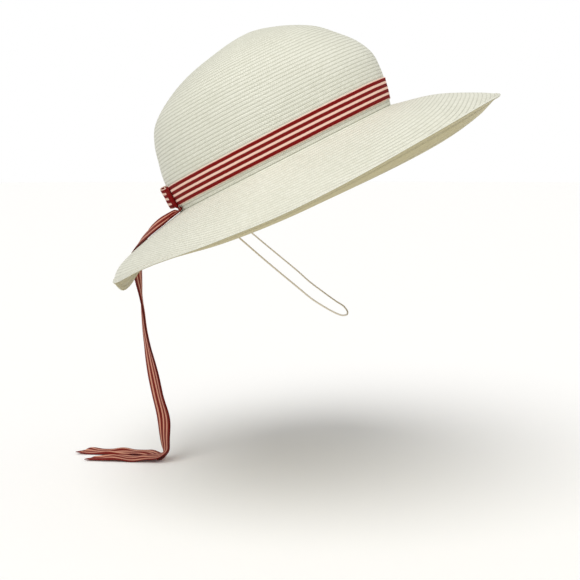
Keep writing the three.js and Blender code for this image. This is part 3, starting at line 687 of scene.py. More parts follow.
@dataclass
class HatForm:
    """Shape of crown and brim, in millimetres, before the hat is tipped back."""

    tip_back: float = 27.0
    straw_wall: float = 1.6
    crown_length: float = 203.0
    crown_width: float = 164.0
    crown_height: float = 110.0
    brim_reach: float = 91.0
    brim_drop: float = 38.0
    oval_power: float = 2.25
    egg_share: float = 0.045
    seam: float = 0.3
    collar_seam: float = 0.5
    collar_height: float = 11.0

    def __post_init__(self) -> None:
        """Works out what every point of the hat needs."""
        self.tip = len(CROWN_ROWS) - 1
        self.tipped = Matrix.Rotation(-math.radians(self.tip_back), 3, "Y")
        self.crown_columns = {name: [row[name] for row in CROWN_ROWS] for name in CROWN_ROWS[0]}
        self.brim_turns = [row["turn"] for row in BRIM_ROWS]
        self.brim_cache: dict[float, dict[str, float]] = {}

    def worn(self, point: Vector) -> Vector:
        """Point of the hat after it is tipped back."""
        return self.tipped @ point

    def oval(self, turn: float, back: float, front: float, side: float) -> tuple[float, float]:
        """Point of the head-shaped oval, seen from above.

        Args:
            turn: Degrees round from the front, towards the wearer's left.
            back: How far the oval reaches behind the middle.
            front: How far it reaches in front of the middle.
            side: How far it reaches to each side.

        Returns:
            The point's X and Y.
        """
        c, s = math.cos(math.radians(turn)), math.sin(math.radians(turn))
        power = 2 / self.oval_power
        middle, half = (front - back) / 2, (front + back) / 2
        return (middle + half * math.copysign(abs(c) ** power, c),
                side * math.copysign(abs(s) ** power, s) * (1 - self.egg_share * c))

    def crown_face(self, turn: float, row: float) -> Vector:
        """Point of the crown's outer face. Row runs from 0 at the foot to the last section at the tip."""
        share = {name: through(values, row) for name, values in self.crown_columns.items()}
        length, width = self.crown_length / 2, self.crown_width / 2
        x, y = self.oval(turn, share["back"] * length, share["front"] * length, share["side"] * width)
        return Vector((x, y, share["rise"] * self.crown_height))

    def brim_shares(self, turn: float) -> dict[str, float]:
        """Reach and heights of the brim's section at a turn."""
        key = round(turn % 360, 4)
        if key not in self.brim_cache:
            count = len(BRIM_ROWS)
            i = bisect_right(self.brim_turns, key) - 1

            def row_turn(k: int) -> float:
                """Turn of a section, running on past the last."""
                return self.brim_turns[k % count] + 360 * (k // count)

            span = row_turn(i + 1) - row_turn(i)
            f = (key - row_turn(i)) / span
            shares = {}
            for name in ("reach", "mid", "low", "edge"):
                values = [BRIM_ROWS[k % count][name] for k in (i - 1, i, i + 1, i + 2)]
                slope_here = (values[2] - values[0]) / (row_turn(i + 1) - row_turn(i - 1)) * span
                slope_next = (values[3] - values[1]) / (row_turn(i + 2) - row_turn(i)) * span
                shares[name] = cubic(values[1], values[2], slope_here, slope_next, f)
            self.brim_cache[key] = shares
        return self.brim_cache[key]

    def brim_face(self, turn: float, out: float) -> Vector:
        """Point of the brim's upper face. Out runs from 0 at the crown to 1 at the edge."""
        share = self.brim_shares(turn)
        reach = self.brim_reach * share["reach"]
        length, width = self.crown_length / 2, self.crown_width / 2
        foot = self.oval(turn, length, length, width)
        rim = self.oval(turn, length + reach, length + reach, width + reach)
        place = out * 3
        along = through(BRIM_STEPS, place)
        heights = (-self.seam / self.brim_drop, share["mid"], share["low"], share["edge"])
        height = through(heights, place)
        return Vector((foot[0] + (rim[0] - foot[0]) * along, foot[1] + (rim[1] - foot[1]) * along,
                       height * self.brim_drop))

    def outward(self, face: Callable[[float, float], Vector], turn: float, along: float) -> Vector:
        """Direction that stands square on a face, out of the straw."""
        round_way = face(turn + 0.5, along) - face(turn - 0.5, along)
        up_way = face(turn, along + 0.01) - face(turn, along - 0.01)
        square = round_way.cross(up_way).normalized()
        return -square if face == self.brim_face else square

    def off(self, face: Callable[[float, float], Vector], turn: float, along: float,
            lift: float) -> Vector:
        """Point over a face, by how far it stands off."""
        return face(turn, along) + self.outward(face, turn, along) * lift

    def row_at(self, height: float) -> float:
        """Row of the crown at a height over its foot."""
        low, high = 0.0, float(self.tip)
        for _ in range(30):
            middle = (low + high) / 2
            below = through(self.crown_columns["rise"], middle) * self.crown_height < height
            low, high = (middle, high) if below else (low, middle)
        return low

    def off_crown(self, turn: float, height: float, lift: float) -> Vector:
        """Point off the crown's outer face, by height above the foot and stand-off."""
        return self.off(self.crown_face, turn, self.row_at(height), lift)

    def off_brim(self, x: float, y: float, lift: float) -> Vector:
        """Point over the brim's upper face above a place in the plan, by how far it stands off."""
        turn = math.degrees(math.atan2(y / self.crown_width, x / self.crown_length))
        out = 0.5
        for _ in range(12):
            here = self.brim_face(turn, out)
            round_way = (self.brim_face(turn + 0.1, out) - here) * 10
            away = (self.brim_face(turn, out + 0.001) - here) * 1000
            dx, dy = x - here.x, y - here.y
            area = round_way.x * away.y - round_way.y * away.x
            turn += (dx * away.y - dy * away.x) / area
            out += (round_way.x * dy - round_way.y * dx) / area
        return self.off(self.brim_face, turn, out, lift)

    def even_steps(self, face: Callable[[float, float], Vector], turn: float, end: float,
                   places: Sequence[float]) -> list[float]:
        """Places along a section that divide its length as asked.

        Args:
            face: The face that the section lies in.
            turn: Turn of the section.
            end: Value along the face at which the section ends.
            places: Shares of the section's length.

        Returns:
            Value along the face for each share.
        """
        marks = spread(0, end, 61)
        lengths = lengths_along([face(turn, mark) for mark in marks])
        found = []
        for share in places:
            target = share * lengths[-1]
            k = min(max(bisect_right(lengths, target) - 1, 0), len(marks) - 2)
            part = (target - lengths[k]) / (lengths[k + 1] - lengths[k])
            found.append(marks[k] + (marks[k + 1] - marks[k]) * part)
        return found


@dataclass
class Crown:
    """Domed crown of braid rows, each level with the hat's foot."""

    form: HatForm
    rows: int = 54
    around: int = 176
    straw_pitch: float = 1.5
    relief: float = 0.17
    parts: tuple[float, ...] = (0.0, 0.14, 0.5, 0.86)

    def build(self, straw: bpy.types.Material, relief: NodeRecipe) -> bpy.types.Object:
        """Builds the crown.

        Args:
            straw: Finish of the braid.
            relief: Recipe that raises the rows.

        Returns:
            The finished piece.
        """
        form, per_row = self.form, len(self.parts)
        end = form.tip - 0.004
        turns = [360 * j / self.around for j in range(self.around)]
        outer_places = [k + part for k in range(self.rows) for part in self.parts] + [float(self.rows)]
        inner_places = spread(self.rows - 1.2, 0, self.rows)
        marks = form.even_steps(form.crown_face, 270.0, end,
                                [p / self.rows for p in inner_places + outer_places])
        lifts = [-form.straw_wall] * len(inner_places) + [0.0] * len(outer_places)
        # The foot rows sink a little, so that no light shows between crown and brim
        drop = Vector((0, 0, 0.22))
        loops = []
        for mark, lift in zip(marks, lifts):
            lowered = drop * max(0.0, 1 - mark * 4)
            points = [form.off(form.crown_face, turn, mark, lift) for turn in turns]
            loops.append([form.worn(point - lowered) for point in points])
        places = inner_places + outer_places
        straws = [max(8, round(self.girth(loop) / self.straw_pitch)) for loop in loops]

        def uv(face: int, loop: int, point: int) -> tuple[float, float]:
            """Straw round the row and row above the foot."""
            place = places[min(loop, len(places) - 1)] + 0.0001
            # Rows inside the crown are numbered on, for the yellower tone and painted shade
            inside = INSIDE_ROWS if face < len(inner_places) - 1 else 0
            return point / self.around * straws[face // per_row * per_row], place + inside

        piece = lofted("crown_straw", loops, uv)
        set_values(piece, "row", [place for place in places for _ in turns])
        weight = [0.0] * len(inner_places) + [1.0] * len(outer_places)
        set_values(piece, "relief", [value for value in weight for _ in turns])
        relief.apply(piece, {"Row Relief": self.relief * MM, "Sharpness": 3.0, "Material": straw})
        return shown_as(piece, "crown", "straw_crown")

    @staticmethod
    def girth(loop: Sequence[Vector]) -> float:
        """Length round a loop of points."""
        return sum((b - a).length for a, b in zip(loop, [*loop[1:], loop[0]]))


@dataclass
class Brim:
    """Wide brim of braid rows round the crown, with a rolled edge and a turned-up inner edge."""

    form: HatForm
    rows: int = 27
    around: int = 300
    straw_pitch: float = 1.5
    relief: float = 0.13
    bead: float = 1.05
    stitch_spacing: float = 4.2
    stitch_length: float = 2.1
    stitch_thread: float = 0.42
    collar_points: int = 5
    roll_points: int = 9
    parts: tuple[float, ...] = (0.0, 0.14, 0.5, 0.86)

    def cut(self, turn: float) -> tuple[list[Vector], list[float], list[float]]:
        """One cut through the brim.

        Args:
            turn: Degrees round from the front.

        Returns:
            Its points round the section, the row of each, and the share of relief of each.
        """
        form = self.form
        places = [k + part for k in range(self.rows) for part in self.parts] + [float(self.rows)]
        shares = [0.995 * place / self.rows for place in places]
        marks = form.even_steps(form.brim_face, turn, 1.0, shares)
        foot = form.crown_face(turn, 0)
        inward = foot - form.brim_face(turn, 0.3)
        inward.z = 0
        inward.normalize()

        def collar(depth: float, height: float) -> Vector:
            """Point of the turned-up inner edge."""
            point = foot + inward * depth
            point.z = height
            return point

        near = form.straw_wall + form.collar_seam
        far = near + form.straw_wall
        points = [collar(near + 0.4, form.collar_height), collar(near, form.collar_height - 0.6)]
        points += [collar(near, form.collar_height * 0.5), collar(near, -form.seam * 0.6)]
        points.append(collar(near - 0.6, -form.seam))
        rows = [-2.0, -1.8, -1.0, -0.5, -0.2]
        relief = [0.0] * self.collar_points
        for mark, place in zip(marks, places):
            points.append(form.brim_face(turn, mark))
            rows.append(place)
            relief.append(1.0)
        square = form.outward(form.brim_face, turn, 1.0)
        edge = form.brim_face(turn, 1.0)
        away = (edge - form.brim_face(turn, 0.97)).normalized()
        middle = edge - square * form.straw_wall / 2 - away * 0.4
        for angle in spread(75, -75, self.roll_points):
            roll = away * math.cos(math.radians(angle)) + square * math.sin(math.radians(angle))
            points.append(middle + roll * self.bead)
            rows.append(self.rows + 0.5)
            relief.append(0.0)
        # The underside needs two points for each row
        under = [(mark, place) for mark, place in zip(marks, places) if place < 1 or place % 0.5 == 0]
        for mark, place in reversed(under):
            points.append(form.off(form.brim_face, turn, mark, -form.straw_wall))
            rows.append(place)
            relief.append(0.8)
        points += [collar(near + 0.5, -form.seam - form.straw_wall), collar(far, -form.seam)]
        points += [collar(far, form.collar_height * 0.5), collar(far, form.collar_height - 0.6)]
        points.append(collar(far - 0.4, form.collar_height))
        rows += [-0.2, -0.5, -1.0, -1.8, -2.0]
        relief += [0.0] * self.collar_points
        return points, rows, relief

    def build(self, straw: bpy.types.Material, relief: NodeRecipe) -> bpy.types.Object:
        """Builds the brim.

        Args:
            straw: Finish of the braid.
            relief: Recipe that raises the rows.

        Returns:
            The finished piece.
        """
        cuts = [self.cut(360 * i / self.around) for i in range(self.around)]
        per_row = len(self.parts)
        under_from = self.collar_points + per_row * self.rows + 1 + 6
        loops = [[self.form.worn(point) for point in points] for points, _, _ in cuts]
        rows = cuts[0][1]
        size = len(rows)
        girths = [sum((loops[(i + 1) % self.around][j] - loops[i][j]).length for i in range(self.around))
                  for j in range(size)]
        straws = [round(girth / self.straw_pitch) for girth in girths]

        def uv(_face: int, loop: int, point: int) -> tuple[float, float]:
            """Straw round the row and row out from the crown."""
            j = point % size
            row_start = max(j - (j - self.collar_points) % per_row, 0)
            # Underside and collar rows are numbered on, for the yellower tone and painted shade
            inside = INSIDE_ROWS if j >= under_from or j < self.collar_points - 1 else 0
            return loop / self.around * straws[row_start], rows[j] + 0.0001 + inside

        piece = lofted("brim_straw", loops, uv, joined=True)
        set_values(piece, "row", [value for _, values, _ in cuts for value in values])
        set_values(piece, "relief", [value for _, _, values in cuts for value in values])
        relief.apply(piece, {"Row Relief": self.relief * MM, "Sharpness": 3.0, "Material": straw})
        return shown_as(piece, "brim", "straw_brim")

    def stitches(self, thread: bpy.types.Material, stitch: NodeRecipe) -> bpy.types.Object:
        """Row of stitches that holds the rolled edge.

        Args:
            thread: Finish of the thread.
            stitch: Recipe that lays the stitches.

        Returns:
            The finished piece.
        """
        form = self.form
        path = [form.worn(form.off(form.brim_face, 360 * i / 720, 0.955, 0.28)) for i in range(720)]
        piece = chain_of_edges("brim_edge_stitches", path, closed=True)
        stitch.apply(piece, {"Spacing": self.stitch_spacing * MM, "Stitch Length": self.stitch_length * MM,
                             "Thread": self.stitch_thread * MM, "Seed": 5, "Material": thread})
        return shown_as(piece, "", "straw_brim")


@dataclass
class Trimming:
    """Striped ribbon: band, loop and knot, sewn to the crown."""

    form: HatForm
    width: float = 18.0
    cloth: float = 0.6
    thickness: float = 1.0
    band_foot: float = 5.0
    band_lift: float = 0.42
    loop_length: float = 38.0
    loop_opening: float = 3.8
    loop_pinch: float = 1.6
    loop_rise: float = 3.5
    knot_width: float = 5.0
    knot_depth: float = 4.8
    knot_low_end: float = 1.14
    knot_stripe: float = 0.08
    knot_slant: float = 0.03
    bow_turn: float = 197.0

    def round_crown(self, turn: float, distance: float) -> float:
        """Turn that lies a distance round the crown from another one, at the height of the band."""
        step = math.copysign(0.25, distance)
        height = self.band_foot + self.width / 2
        at, left = turn, abs(distance)
        while left > 0:
            here = self.form.off_crown(at, height, 0)
            length = (self.form.off_crown(at + step, height, 0) - here).length
            at += step * min(left / length, 1)
            left -= length
        return at

    def band(self, ribbon: bpy.types.Material) -> bpy.types.Object:
        """Builds the band, a ring of ribbon that lies close to the straw."""
        form, count, across = self.form, 260, 11
        shares = spread(0, 1, across)
        loops = []
        for i in range(count):
            turn = 360 * i / count
            loop = []
            for side in (0, 1):
                for share in shares if side == 0 else shares[::-1]:
                    curl = 0.16 * wave(turn * 0.09, share * 2, 3.0) + 0.22 * abs(2 * share - 1) ** 6
                    uneven = wave(turn * 0.07, 9.0 if share > 0.5 else 4.0, 1.0)
                    edge = 0.18 * uneven * abs(2 * share - 1) ** 3
                    height = self.band_foot + share * self.width + edge
                    lift = self.band_lift + curl + side * self.cloth
                    loop.append(form.worn(form.off_crown(turn, height, lift)))
            loops.append(loop)
        lengths = lengths_along([loop[across // 2] for loop in [*loops, loops[0]]])
        piece = lofted("striped_band", loops, ribbon_uv(lengths, across), joined=True)
        shown_as(piece, "hat_band", "band_ribbon", ribbon)
        return piece

    def loop(self, ribbon: bpy.types.Material) -> bpy.types.Object:
        """Builds the loop, two layers of ribbon with a round bend at each end."""
        form, across = self.form, 17
        base = 2 * form.seam + 1.5 * self.thickness
        shares = spread(0, 1, across)
        bends = [(gap + self.thickness) / 2 for gap in (self.loop_pinch, self.loop_opening)]
        centres = (form.seam + self.thickness / 2 + bends[0], self.loop_length - bends[1])
        stations = [(share, -90.0) for share in spread(0, 1, 26)]
        stations += [(1.0, angle) for angle in spread(-72, 72, 9)]
        stations += [(share, 90.0) for share in spread(1, 0, 26)]
        stations += [(0.0, angle) for angle in spread(108, 252, 9)]
        loops = []
        for share, angle in stations:
            bend = bends[0] + (bends[1] - bends[0]) * share
            c, s = math.cos(math.radians(angle)), math.sin(math.radians(angle))
            along = centres[0] + (centres[1] - centres[0]) * share + c * bend
            stand = base + bend + s * bend
            foot = self.band_foot + self.loop_rise * along / self.loop_length
            loop = []
            for side in (-1, 1):
                for up in shares if side < 0 else shares[::-1]:
                    lift = side * self.cloth / 2
                    scallop = 0.8 * math.cos(up * math.pi * 8) * share ** 3
                    ripple = 0.45 * wave(along * 0.16, up * 2.4, 11.0) * (1 + s) / 2
                    turn = self.round_crown(self.bow_turn, -along - c * lift - scallop * 0.8)
                    height = foot + up * self.width
                    loop.append(form.worn(form.off_crown(turn, height, stand + s * lift + ripple)))
            loops.append(loop)
        lengths = lengths_along([loop[across // 2] for loop in [*loops, loops[0]]])
        piece = lofted("ribbon_loop", loops, ribbon_uv(lengths, across), joined=True)
        shown_as(piece, "bow_loop", "loop_ribbon", ribbon)
        return piece

    def knot(self, ribbon: bpy.types.Material) -> bpy.types.Object:
        """Builds the knot, a narrow creased wrap of ribbon on the front side of the loop."""
        form = self.form
        base = 2 * form.seam + self.thickness
        middle = self.band_foot + self.width / 2
        ups, inner = spread(-1, 1, 25), spread(1, -1, 13)
        cuts = spread(0, 1, 27)
        loops = []
        for share in cuts:
            fullness = math.sin(math.pi * (0.14 + 0.72 * share))
            depth = (self.knot_depth - base) * fullness
            half = (self.width / 2 + form.straw_wall / 2) * (0.86 + 0.14 * fullness)
            turn = self.round_crown(self.bow_turn, max(share * self.knot_width, 0.001))
            crease = 0.42 * math.cos(share * math.pi * 6.0)
            loop = []
            # The wrap's lower end reaches down over the tails that come out of it
            below = half * self.knot_low_end
            for up in ups:
                fold = crease * (1 - up ** 4) + 0.25 * wave(share * 3, up * 1.5, 7.0)
                height = middle + (half if up > 0 else below) * up
                loop.append(form.off_crown(turn, height, base + depth * (1.02 - up ** 4) + fold * 0.6))
            for up in inner:
                height = middle + (half if up > 0 else below) * up * 0.98
                loop.append(form.off_crown(turn, height, base))
            loops.append([form.worn(point) for point in loop])

        def uv(_face: int, loop_number: int, point: int) -> tuple[float, float]:
            """Length up the wrap and share across the folded ribbon, whose stripes run slantwise."""
            j = point % (len(ups) + len(inner))
            up = ups[j] if j < len(ups) else inner[j - len(ups)]
            round_share = cuts[min(loop_number, len(cuts) - 1)]
            return (up + 1) * self.width / 2, self.knot_stripe + self.knot_slant * (round_share + up)

        piece = lofted("ribbon_knot", loops, uv)
        shown_as(piece, "bow_knot", "knot_ribbon", ribbon)
        return piece


@dataclass
class Tail:
    """One long tail of ribbon. Rank is 0 for the under tail and 1 for the upper one."""

    form: HatForm
    rank: int
    lie_length: float
    name: str
    node: str
    slot: str
    width: float = 18.0
    thickness: float = 1.0
    cloth: float = 0.55
    ease: float = 0.7
    sway: float = 26.0
    over_edge: float = 1.4
    heading: float = 174.0
    slant: float = 14.0
    rest_level: float = -287.0
    nest: float = 1.25
    knot_foot: float = 3.6
    pleat: float = 0.8
    near_edge: float = 1.4
    cup: float = 0.5
    cloth_wave: float = 1.1
    lying_rise: float = 0.7
    lying_wave: float = 3.2
    upper_turn: float = 9.0
    lower_turn: float = 12.0
    across: int = 17

    def row_of_points(self, middle: Vector, across: Vector) -> list[Vector]:
        """Points across the ribbon from its near side to its far side."""
        return [middle + across * (share - 0.5) * self.width for share in spread(0, 1, self.across)]

    def on_brim(self) -> list[list[Vector]]:
        """Sections of the tail on the brim, from the foot of the knot to the edge."""
        form = self.form
        stand = self.rank * (self.thickness + self.ease)
        target = form.brim_face(BRIM_WAY[-1]["turn"], 1.3)
        sections = []
        for at in spread(0, len(BRIM_WAY) - 1, 46):
            row = between(BRIM_WAY, at)
            middle = form.brim_face(row["turn"], row["out"])
            ahead = target - middle
            across = Vector((ahead.y, -ahead.x, 0)).normalized()
            level, upright = math.cos(math.radians(row["tip"])), math.sin(math.radians(row["tip"]))
            base = form.seam + self.ease + self.thickness / 2 + row["rise"] * self.width + level * stand
            width = self.width * row["open"]
            points = []
            for share in spread(0, 1, self.across):
                gather = (1 - row["open"]) * self.pleat * math.cos(share * math.pi * 4)
                gather += 0.25 * wave(at * 0.9, share * 3, self.rank)
                beside = (share - 0.5) * (self.near_edge if share < 0.5 else 1.0) * width
                place = middle + across * (beside * level - upright * (stand + gather))
                drape = max(0.0, 0.45 - share) / 0.45 * self.ease * (1.6 if self.rank == 0 else 2.6)
                height = base + share * width * upright + level * gather - drape
                points.append(form.worn(form.off_brim(place.x, place.y, height)))
            sections.append(points)
        return [*self.under_knot(sections[0]), *sections]

    def under_knot(self, first: list[Vector]) -> list[list[Vector]]:
        """Gathered sections that bring the tail down from the knot.

        Args:
            first: The first section on the brim.

        Returns:
            The sections, from the knot to just before the first one.
        """
        form = self.form
        lift = 1.3 + self.rank * (self.cloth + 0.35)
        sections = []
        for height in spread(self.knot_foot, 0.7, 5):
            section = []
            for share in spread(0, 1, self.across):
                pleat = 0.3 * math.cos(share * math.pi * 5)
                turn = BRIM_WAY[0]["turn"] + 4.6 - 5.6 * share
                section.append(form.worn(form.off_crown(turn, height, lift + pleat)))
            sections.append(section)
        last = sections[-1]
        between_them = [[a.lerp(b, part) for a, b in zip(last, first)] for part in (0.25, 0.5, 0.75)]
        return [*sections, *between_them]

    def falling(self, start: Vector, edge_height: float) -> list[list[Vector]]:
        """Sections of the tail as it falls from the edge.

        Args:
            start: Point outside the brim's edge where the fall starts.
            edge_height: Height of the brim's edge there.

        Returns:
            The sections, from top to bottom.
        """
        sections = []
        for at in spread(0, len(FALL_ROWS) - 1, 80):
            row = between(FALL_ROWS, at)
            # The loose twist opens in two turns, one just under the brim and one half way down
            opened = self.upper_turn * min(1.0, max(0.0, (row["fall"] - 0.1) / 0.12))
            opened += self.lower_turn * min(1.0, max(0.0, (row["fall"] - 0.42) / 0.15))
            face = math.radians(row["face"] - opened)
            front = Vector((math.cos(face), -math.sin(face), 0))
            across = Vector((-front.y, front.x, math.tan(math.radians(row["tilt"])))).normalized()
            middle = start + Vector((row["forward"], row["left"], 0)) * self.sway
            middle.z = edge_height - row["fall"] * (edge_height - self.rest_level)
            middle += front * ((1 - self.rank) * self.nest)
            points = self.row_of_points(middle, across)
            for k, point in enumerate(points):
                share = k / (self.across - 1)
                cup = self.cup * math.cos((share - 0.5) * math.pi * 2)
                cup += self.cloth_wave * wave(row["fall"] * 4, share * 2.2, 2.0)
                point += front * cup
            sections.append(points)
        return sections

    def lying(self, start: Vector) -> list[list[Vector]]:
        """Sections of the tail where it lies, with its end cut on a slant."""
        turn = math.radians(self.heading)
        heading = Vector((math.cos(turn), math.sin(turn), 0))
        across = Vector((heading.y, -heading.x, 0))
        sections = []
        for at in spread(0, len(LIE_ROWS) - 1, 44):
            row = between(LIE_ROWS, at)
            middle = start + heading * row["along"] * self.lie_length
            middle += across * ((1 - self.rank) * row["beside"] * self.width)
            raised = row["lift"] * self.width * (1 if self.rank == 1 else 0.2)
            middle.z = self.rest_level + self.thickness / 2 + raised
            slant = self.slant / 2 * max(0.0, (row["along"] - 0.6) / 0.4)
            points = self.row_of_points(middle, across)
            for k, point in enumerate(points):
                share = k / (self.across - 1)
                point += heading * slant * (1 - 2 * share)
                ripple = wave(row["along"] * self.lie_length * 0.05, share * 2.6, 5.0 + 3 * self.rank)
                rise = max(0.0, self.lying_rise + self.lying_wave * ripple)
                point.z += rise * min(1.0, row["along"] * 3)
            sections.append(points)
        return sections

    def build(self, ribbon: bpy.types.Material) -> bpy.types.Object:
        """Builds the tail.

        Args:
            ribbon: Finish of the ribbon.

        Returns:
            The finished piece.
        """
        edge = self.form.worn(self.form.brim_face(BRIM_WAY[-1]["turn"], 1))
        face = math.radians(FALL_ROWS[0]["face"])
        out = self.over_edge + self.thickness / 2 + self.nest
        start = edge - Vector((math.cos(face), -math.sin(face), 0)) * out
        falling = self.falling(start, edge.z)
        row_middle = self.across // 2
        sections = self.smoothed([*self.on_brim(), *falling, *self.lying(falling[-1][row_middle])])
        loops = []
        last = len(sections) - 1
        for i, points in enumerate(sections):
            loop: list[Vector] = []
            back: list[Vector] = []
            for k, point in enumerate(points):
                ahead = sections[min(i + 1, last)][k] - sections[max(i - 1, 0)][k]
                side = points[min(k + 1, self.across - 1)] - points[max(k - 1, 0)]
                square = side.cross(ahead).normalized() * self.cloth / 2
                loop.append(point - square)
                back.append(point + square)
            loops.append([*loop, *back[::-1]])
        lengths = lengths_along([points[row_middle] for points in sections])
        piece = lofted(self.name, loops, ribbon_uv(lengths, self.across))
        shown_as(piece, self.node, self.slot, ribbon)
        LOG.info("%s: %.0f mm long", self.name, lengths[-1])
        return piece

    def smoothed(self, sections: list[list[Vector]]) -> list[list[Vector]]:
        """Sections with the bends between the stretches eased, three times over."""
        for _ in range(3):
            eased = [sections[0]]
            for before, here, after in zip(sections, sections[1:], sections[2:]):
                eased.append([h * 0.5 + (b + a) * 0.25 for b, h, a in zip(before, here, after)])
            sections = [*eased, sections[-1]]
        return sections


@dataclass
class ChinElastic:
    """Thin round elastic that runs from inside the head opening under the chin to the other side."""

    form: HatForm
    diameter: float = 1.4
    turn: float = 148.0
    knot: float = 4.2
    knot_rise: float = 3.0
    sides: int = 12

    def knot_middle(self, side: int) -> Vector:
        """Middle of a sewn end. Side is -1 on the wearer's right and 1 on the left."""
        form = self.form
        foot = form.crown_face(side * self.turn, 0)
        inward = foot - form.brim_face(side * self.turn, 0.3)
        inward.z = 0
        depth = 2 * form.straw_wall + form.collar_seam + 1.3 * form.seam + self.knot / 2
        point = foot + inward.normalized() * depth
        point.z = self.knot_rise
        return form.worn(point)

    def path(self) -> list[Vector]:
        """Middle line of the elastic, in millimetres, close enough for a smooth tube."""
        right = [Vector(point) / MM for point in ELASTIC_WAY]
        left = [Vector((p[0], -p[1], p[2])) / MM for p in reversed(ELASTIC_WAY)]
        way = [*right, Vector(ELASTIC_MIDDLE) / MM, *left]
        ends = []
        for side, near in ((-1, way[0]), (1, way[-1])):
            middle = self.knot_middle(side)
            ends.append(middle + (near - middle).normalized() * (self.knot / 2 + self.form.seam))
        points = [ends[0], *way, ends[1]]
        line = []
        for i in range(len(points) - 1):
            for part in range(12):
                at = i + part / 12
                columns = [[point[axis] for point in points] for axis in range(3)]
                line.append(Vector([through(column, at) for column in columns]))
        return [*line, points[-1]]

    def build(self, cover: bpy.types.Material) -> bpy.types.Object:
        """Builds the elastic as a tube along its path.

        Args:
            cover: Finish of the elastic.

        Returns:
            The finished piece.
        """
        line = self.path()
        lengths = lengths_along(line)
        side = Vector((0, 0, 1))
        loops = []
        for i, point in enumerate(line):
            ahead = (line[min(i + 1, len(line) - 1)] - line[max(i - 1, 0)]).normalized()
            side = (side - ahead * side.dot(ahead)).normalized()
            other = ahead.cross(side)
            angles = [2 * math.pi * j / self.sides for j in range(self.sides)]
            ring = [(side * math.cos(a) + other * math.sin(a)) * self.diameter / 2 for a in angles]
            loops.append([point + spoke for spoke in ring])

        def uv(_face: int, loop_number: int, point: int) -> tuple[float, float]:
            """Length along the elastic and share round it."""
            return lengths[min(loop_number, len(line) - 1)], point / self.sides

        piece = lofted("elastic_strap", loops, uv)
        shown_as(piece, "chin_elastic", "elastic_cord", cover)
        LOG.info("elastic_strap: %.0f mm long", lengths[-1])
        return piece

    def sewn_end(self, side: int, name: str, node: str, slot: str,
                 cover: bpy.types.Material) -> bpy.types.Object:
        """Builds one sewn end, a small overhand knot drawn tight.

        Args:
            side: -1 on the wearer's right and 1 on the left.
            name: Name of the piece.
            node: Name of its solid.
            slot: Slot of the record.
            cover: Finish of the elastic.

        Returns:
            The finished piece.
        """
        middle = self.knot_middle(side)
        radius, wire, count = 1.35, 0.68, 96
        line = []
        for i in range(count):
            t = 2 * math.pi * i / count
            trefoil = (math.sin(t) + 1.5 * math.sin(2 * t), math.cos(t) - 1.5 * math.cos(2 * t),
                       -0.9 * math.sin(3 * t))
            line.append(Vector(trefoil) * radius / 2.5)
        loops = []
        up = Vector((0.2, 0.4, 1)).normalized()
        for i, point in enumerate(line):
            ahead = (line[(i + 1) % count] - line[i - 1]).normalized()
            across = ahead.cross(point.cross(ahead) + up * 0.001).normalized()
            other = ahead.cross(across)
            angles = [2 * math.pi * j / 10 for j in range(10)]
            ring = [(across * math.cos(a) + other * math.sin(a)) * wire for a in angles]
            loops.append([middle + point + spoke for spoke in ring])

        def uv(_face: int, loop_number: int, point: int) -> tuple[float, float]:
            """Length along the knot and share round it."""
            return loop_number / count * 14.0, point / 10

        piece = lofted(name, loops, uv, joined=True)
        return shown_as(piece, node, slot, cover)


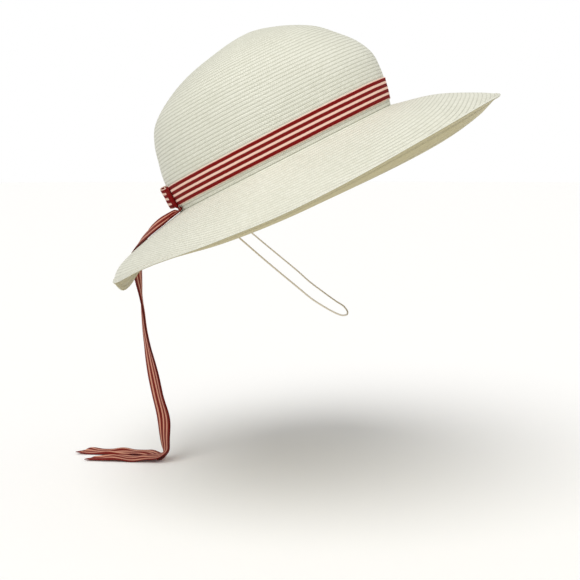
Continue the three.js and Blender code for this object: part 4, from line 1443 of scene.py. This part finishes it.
@dataclass
class Studio:
    """Pale floor, soft light and the camera at the photograph's viewing angle. Lengths are in metres."""

    eye: tuple[float, float, float] = (0.00426, -0.830, -0.00409)
    lens: float = 59.2
    look_down: float = 3.78
    shift: float = -0.110
    floor_level: float = -0.2872

    def camera(self) -> None:
        """Makes the camera, level with the brow and a little tipped down."""
        data = bpy.data.cameras.new("camera")
        data.lens = self.lens
        data.sensor_width = 36
        data.shift_y = self.shift
        data.clip_start, data.clip_end = 0.01, 100
        camera = in_scene("camera", data)
        camera.location = self.eye
        camera.rotation_euler = (math.radians(90 - self.look_down), 0, 0)
        bpy.context.scene.camera = camera

    def floor(self, paper: bpy.types.Material) -> None:
        """Lays the round floor that the tails' ends lie on."""
        mesh = bpy.data.meshes.new("studio_floor")
        work = bmesh.new()
        bmesh.ops.create_circle(work, cap_ends=True, segments=96, radius=14)
        work.to_mesh(mesh)
        work.free()
        mesh.transform(Matrix.Translation((0, 0, self.floor_level)))
        mesh.materials.append(paper)
        in_scene("studio_floor", mesh)

    def sun(self, name: str, place: tuple[float, float, float], spread_angle: float, power: float,
            colour: str) -> None:
        """Hangs a wide soft light that shines from a direction, the same all over the floor."""
        data = bpy.data.lights.new(name, "SUN")
        data.angle = math.radians(spread_angle)
        data.energy = power
        data.color = linear(colour)[:3]
        lamp = in_scene(name, data)
        lamp.rotation_euler = (-Vector(place)).to_track_quat("-Z", "Y").to_euler()

    def lights(self) -> None:
        """Hangs the lights and sets the pale surroundings."""
        self.sun("key", (-0.25, -0.75, 1.5), 50, 1.85, "#FFFDF8")
        self.sun("fill", (1.0, -0.8, 0.7), 90, 0.35, "#F8FAFF")
        world = bpy.data.worlds.new("pale surroundings")
        world.use_nodes = True
        world.node_tree.nodes.clear()
        tree = world.node_tree
        # The paper fills the view behind the hat, and its light on the hat is weaker than it looks
        seen = add_node(tree, "ShaderNodeLightPath")
        around = add_node(tree, "ShaderNodeBackground",
                          inputs={"Color": linear("#FFFFFF"), "Strength": 0.46})
        paper = add_node(tree, "ShaderNodeBackground",
                         inputs={"Color": linear("#FFFFFF"), "Strength": 1.0})
        both = add_node(tree, "ShaderNodeMixShader", inputs={
            0: seen.outputs["Is Camera Ray"], 1: around.outputs[0], 2: paper.outputs[0]})
        add_node(tree, "ShaderNodeOutputWorld", inputs={"Surface": both.outputs[0]})
        bpy.context.scene.world = world
        bpy.context.scene.view_settings.view_transform = "Standard"


def main() -> None:
    """Builds the hat piece by piece."""
    logging.basicConfig(level=logging.INFO, format="%(name)s %(message)s")
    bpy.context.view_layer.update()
    studio = Studio()
    studio.camera()
    form = HatForm()
    elastic = ChinElastic(form)
    cover = BraidedElastic().build()
    elastic.build(cover)
    elastic.sewn_end(-1, "right_elastic_knot", "elastic_knot_right", "right_knot_elastic", cover)
    elastic.sewn_end(1, "left_elastic_knot", "elastic_knot_left", "left_knot_elastic", cover)
    relief = braid_relief()
    Crown(form).build(StrawBraid("bleached straw braid", gap_shade=0.52, seam_shade=0.75).build(), relief)
    brim = Brim(form)
    brim.build(StrawBraid("fine bleached straw braid", gap_shade=0.26, seam_shade=0.5).build(), relief)
    brim.stitches(SewingThread().build(), running_stitch())
    ribbons = {
        RibbonLook.FRESH: GrosgrainRibbon(
            # The tails' copy is darker and browner than the band's: partly fading, partly painted shade
            "striped grosgrain ribbon", "#800204", "#FFD8C6", "#F0C6AE").build(),
        RibbonLook.FADED_AND_SHADED: GrosgrainRibbon(
            "faded and shaded striped grosgrain ribbon", "#7A1A12", "#DDA086", "#A9604A",
            stripe=2.57, selvage=0.0, uneven=0.45, soil=0.12, sheen=0.3).build(),
    }
    trimming = Trimming(form)
    trimming.band(ribbons[RibbonLook.FRESH])
    trimming.loop(ribbons[RibbonLook.FRESH])
    trimming.knot(ribbons[RibbonLook.FRESH])
    for tail in (Tail(form, 0, 86.0, "under_tail", "ribbon_tail_under", "under_tail_ribbon"),
                 Tail(form, 1, 70.0, "upper_tail", "ribbon_tail_upper", "upper_tail_ribbon")):
        tail.build(ribbons[RibbonLook.FADED_AND_SHADED])
    studio.floor(StudioPaper().build())
    studio.lights()


if __name__ == "__main__":
    main()
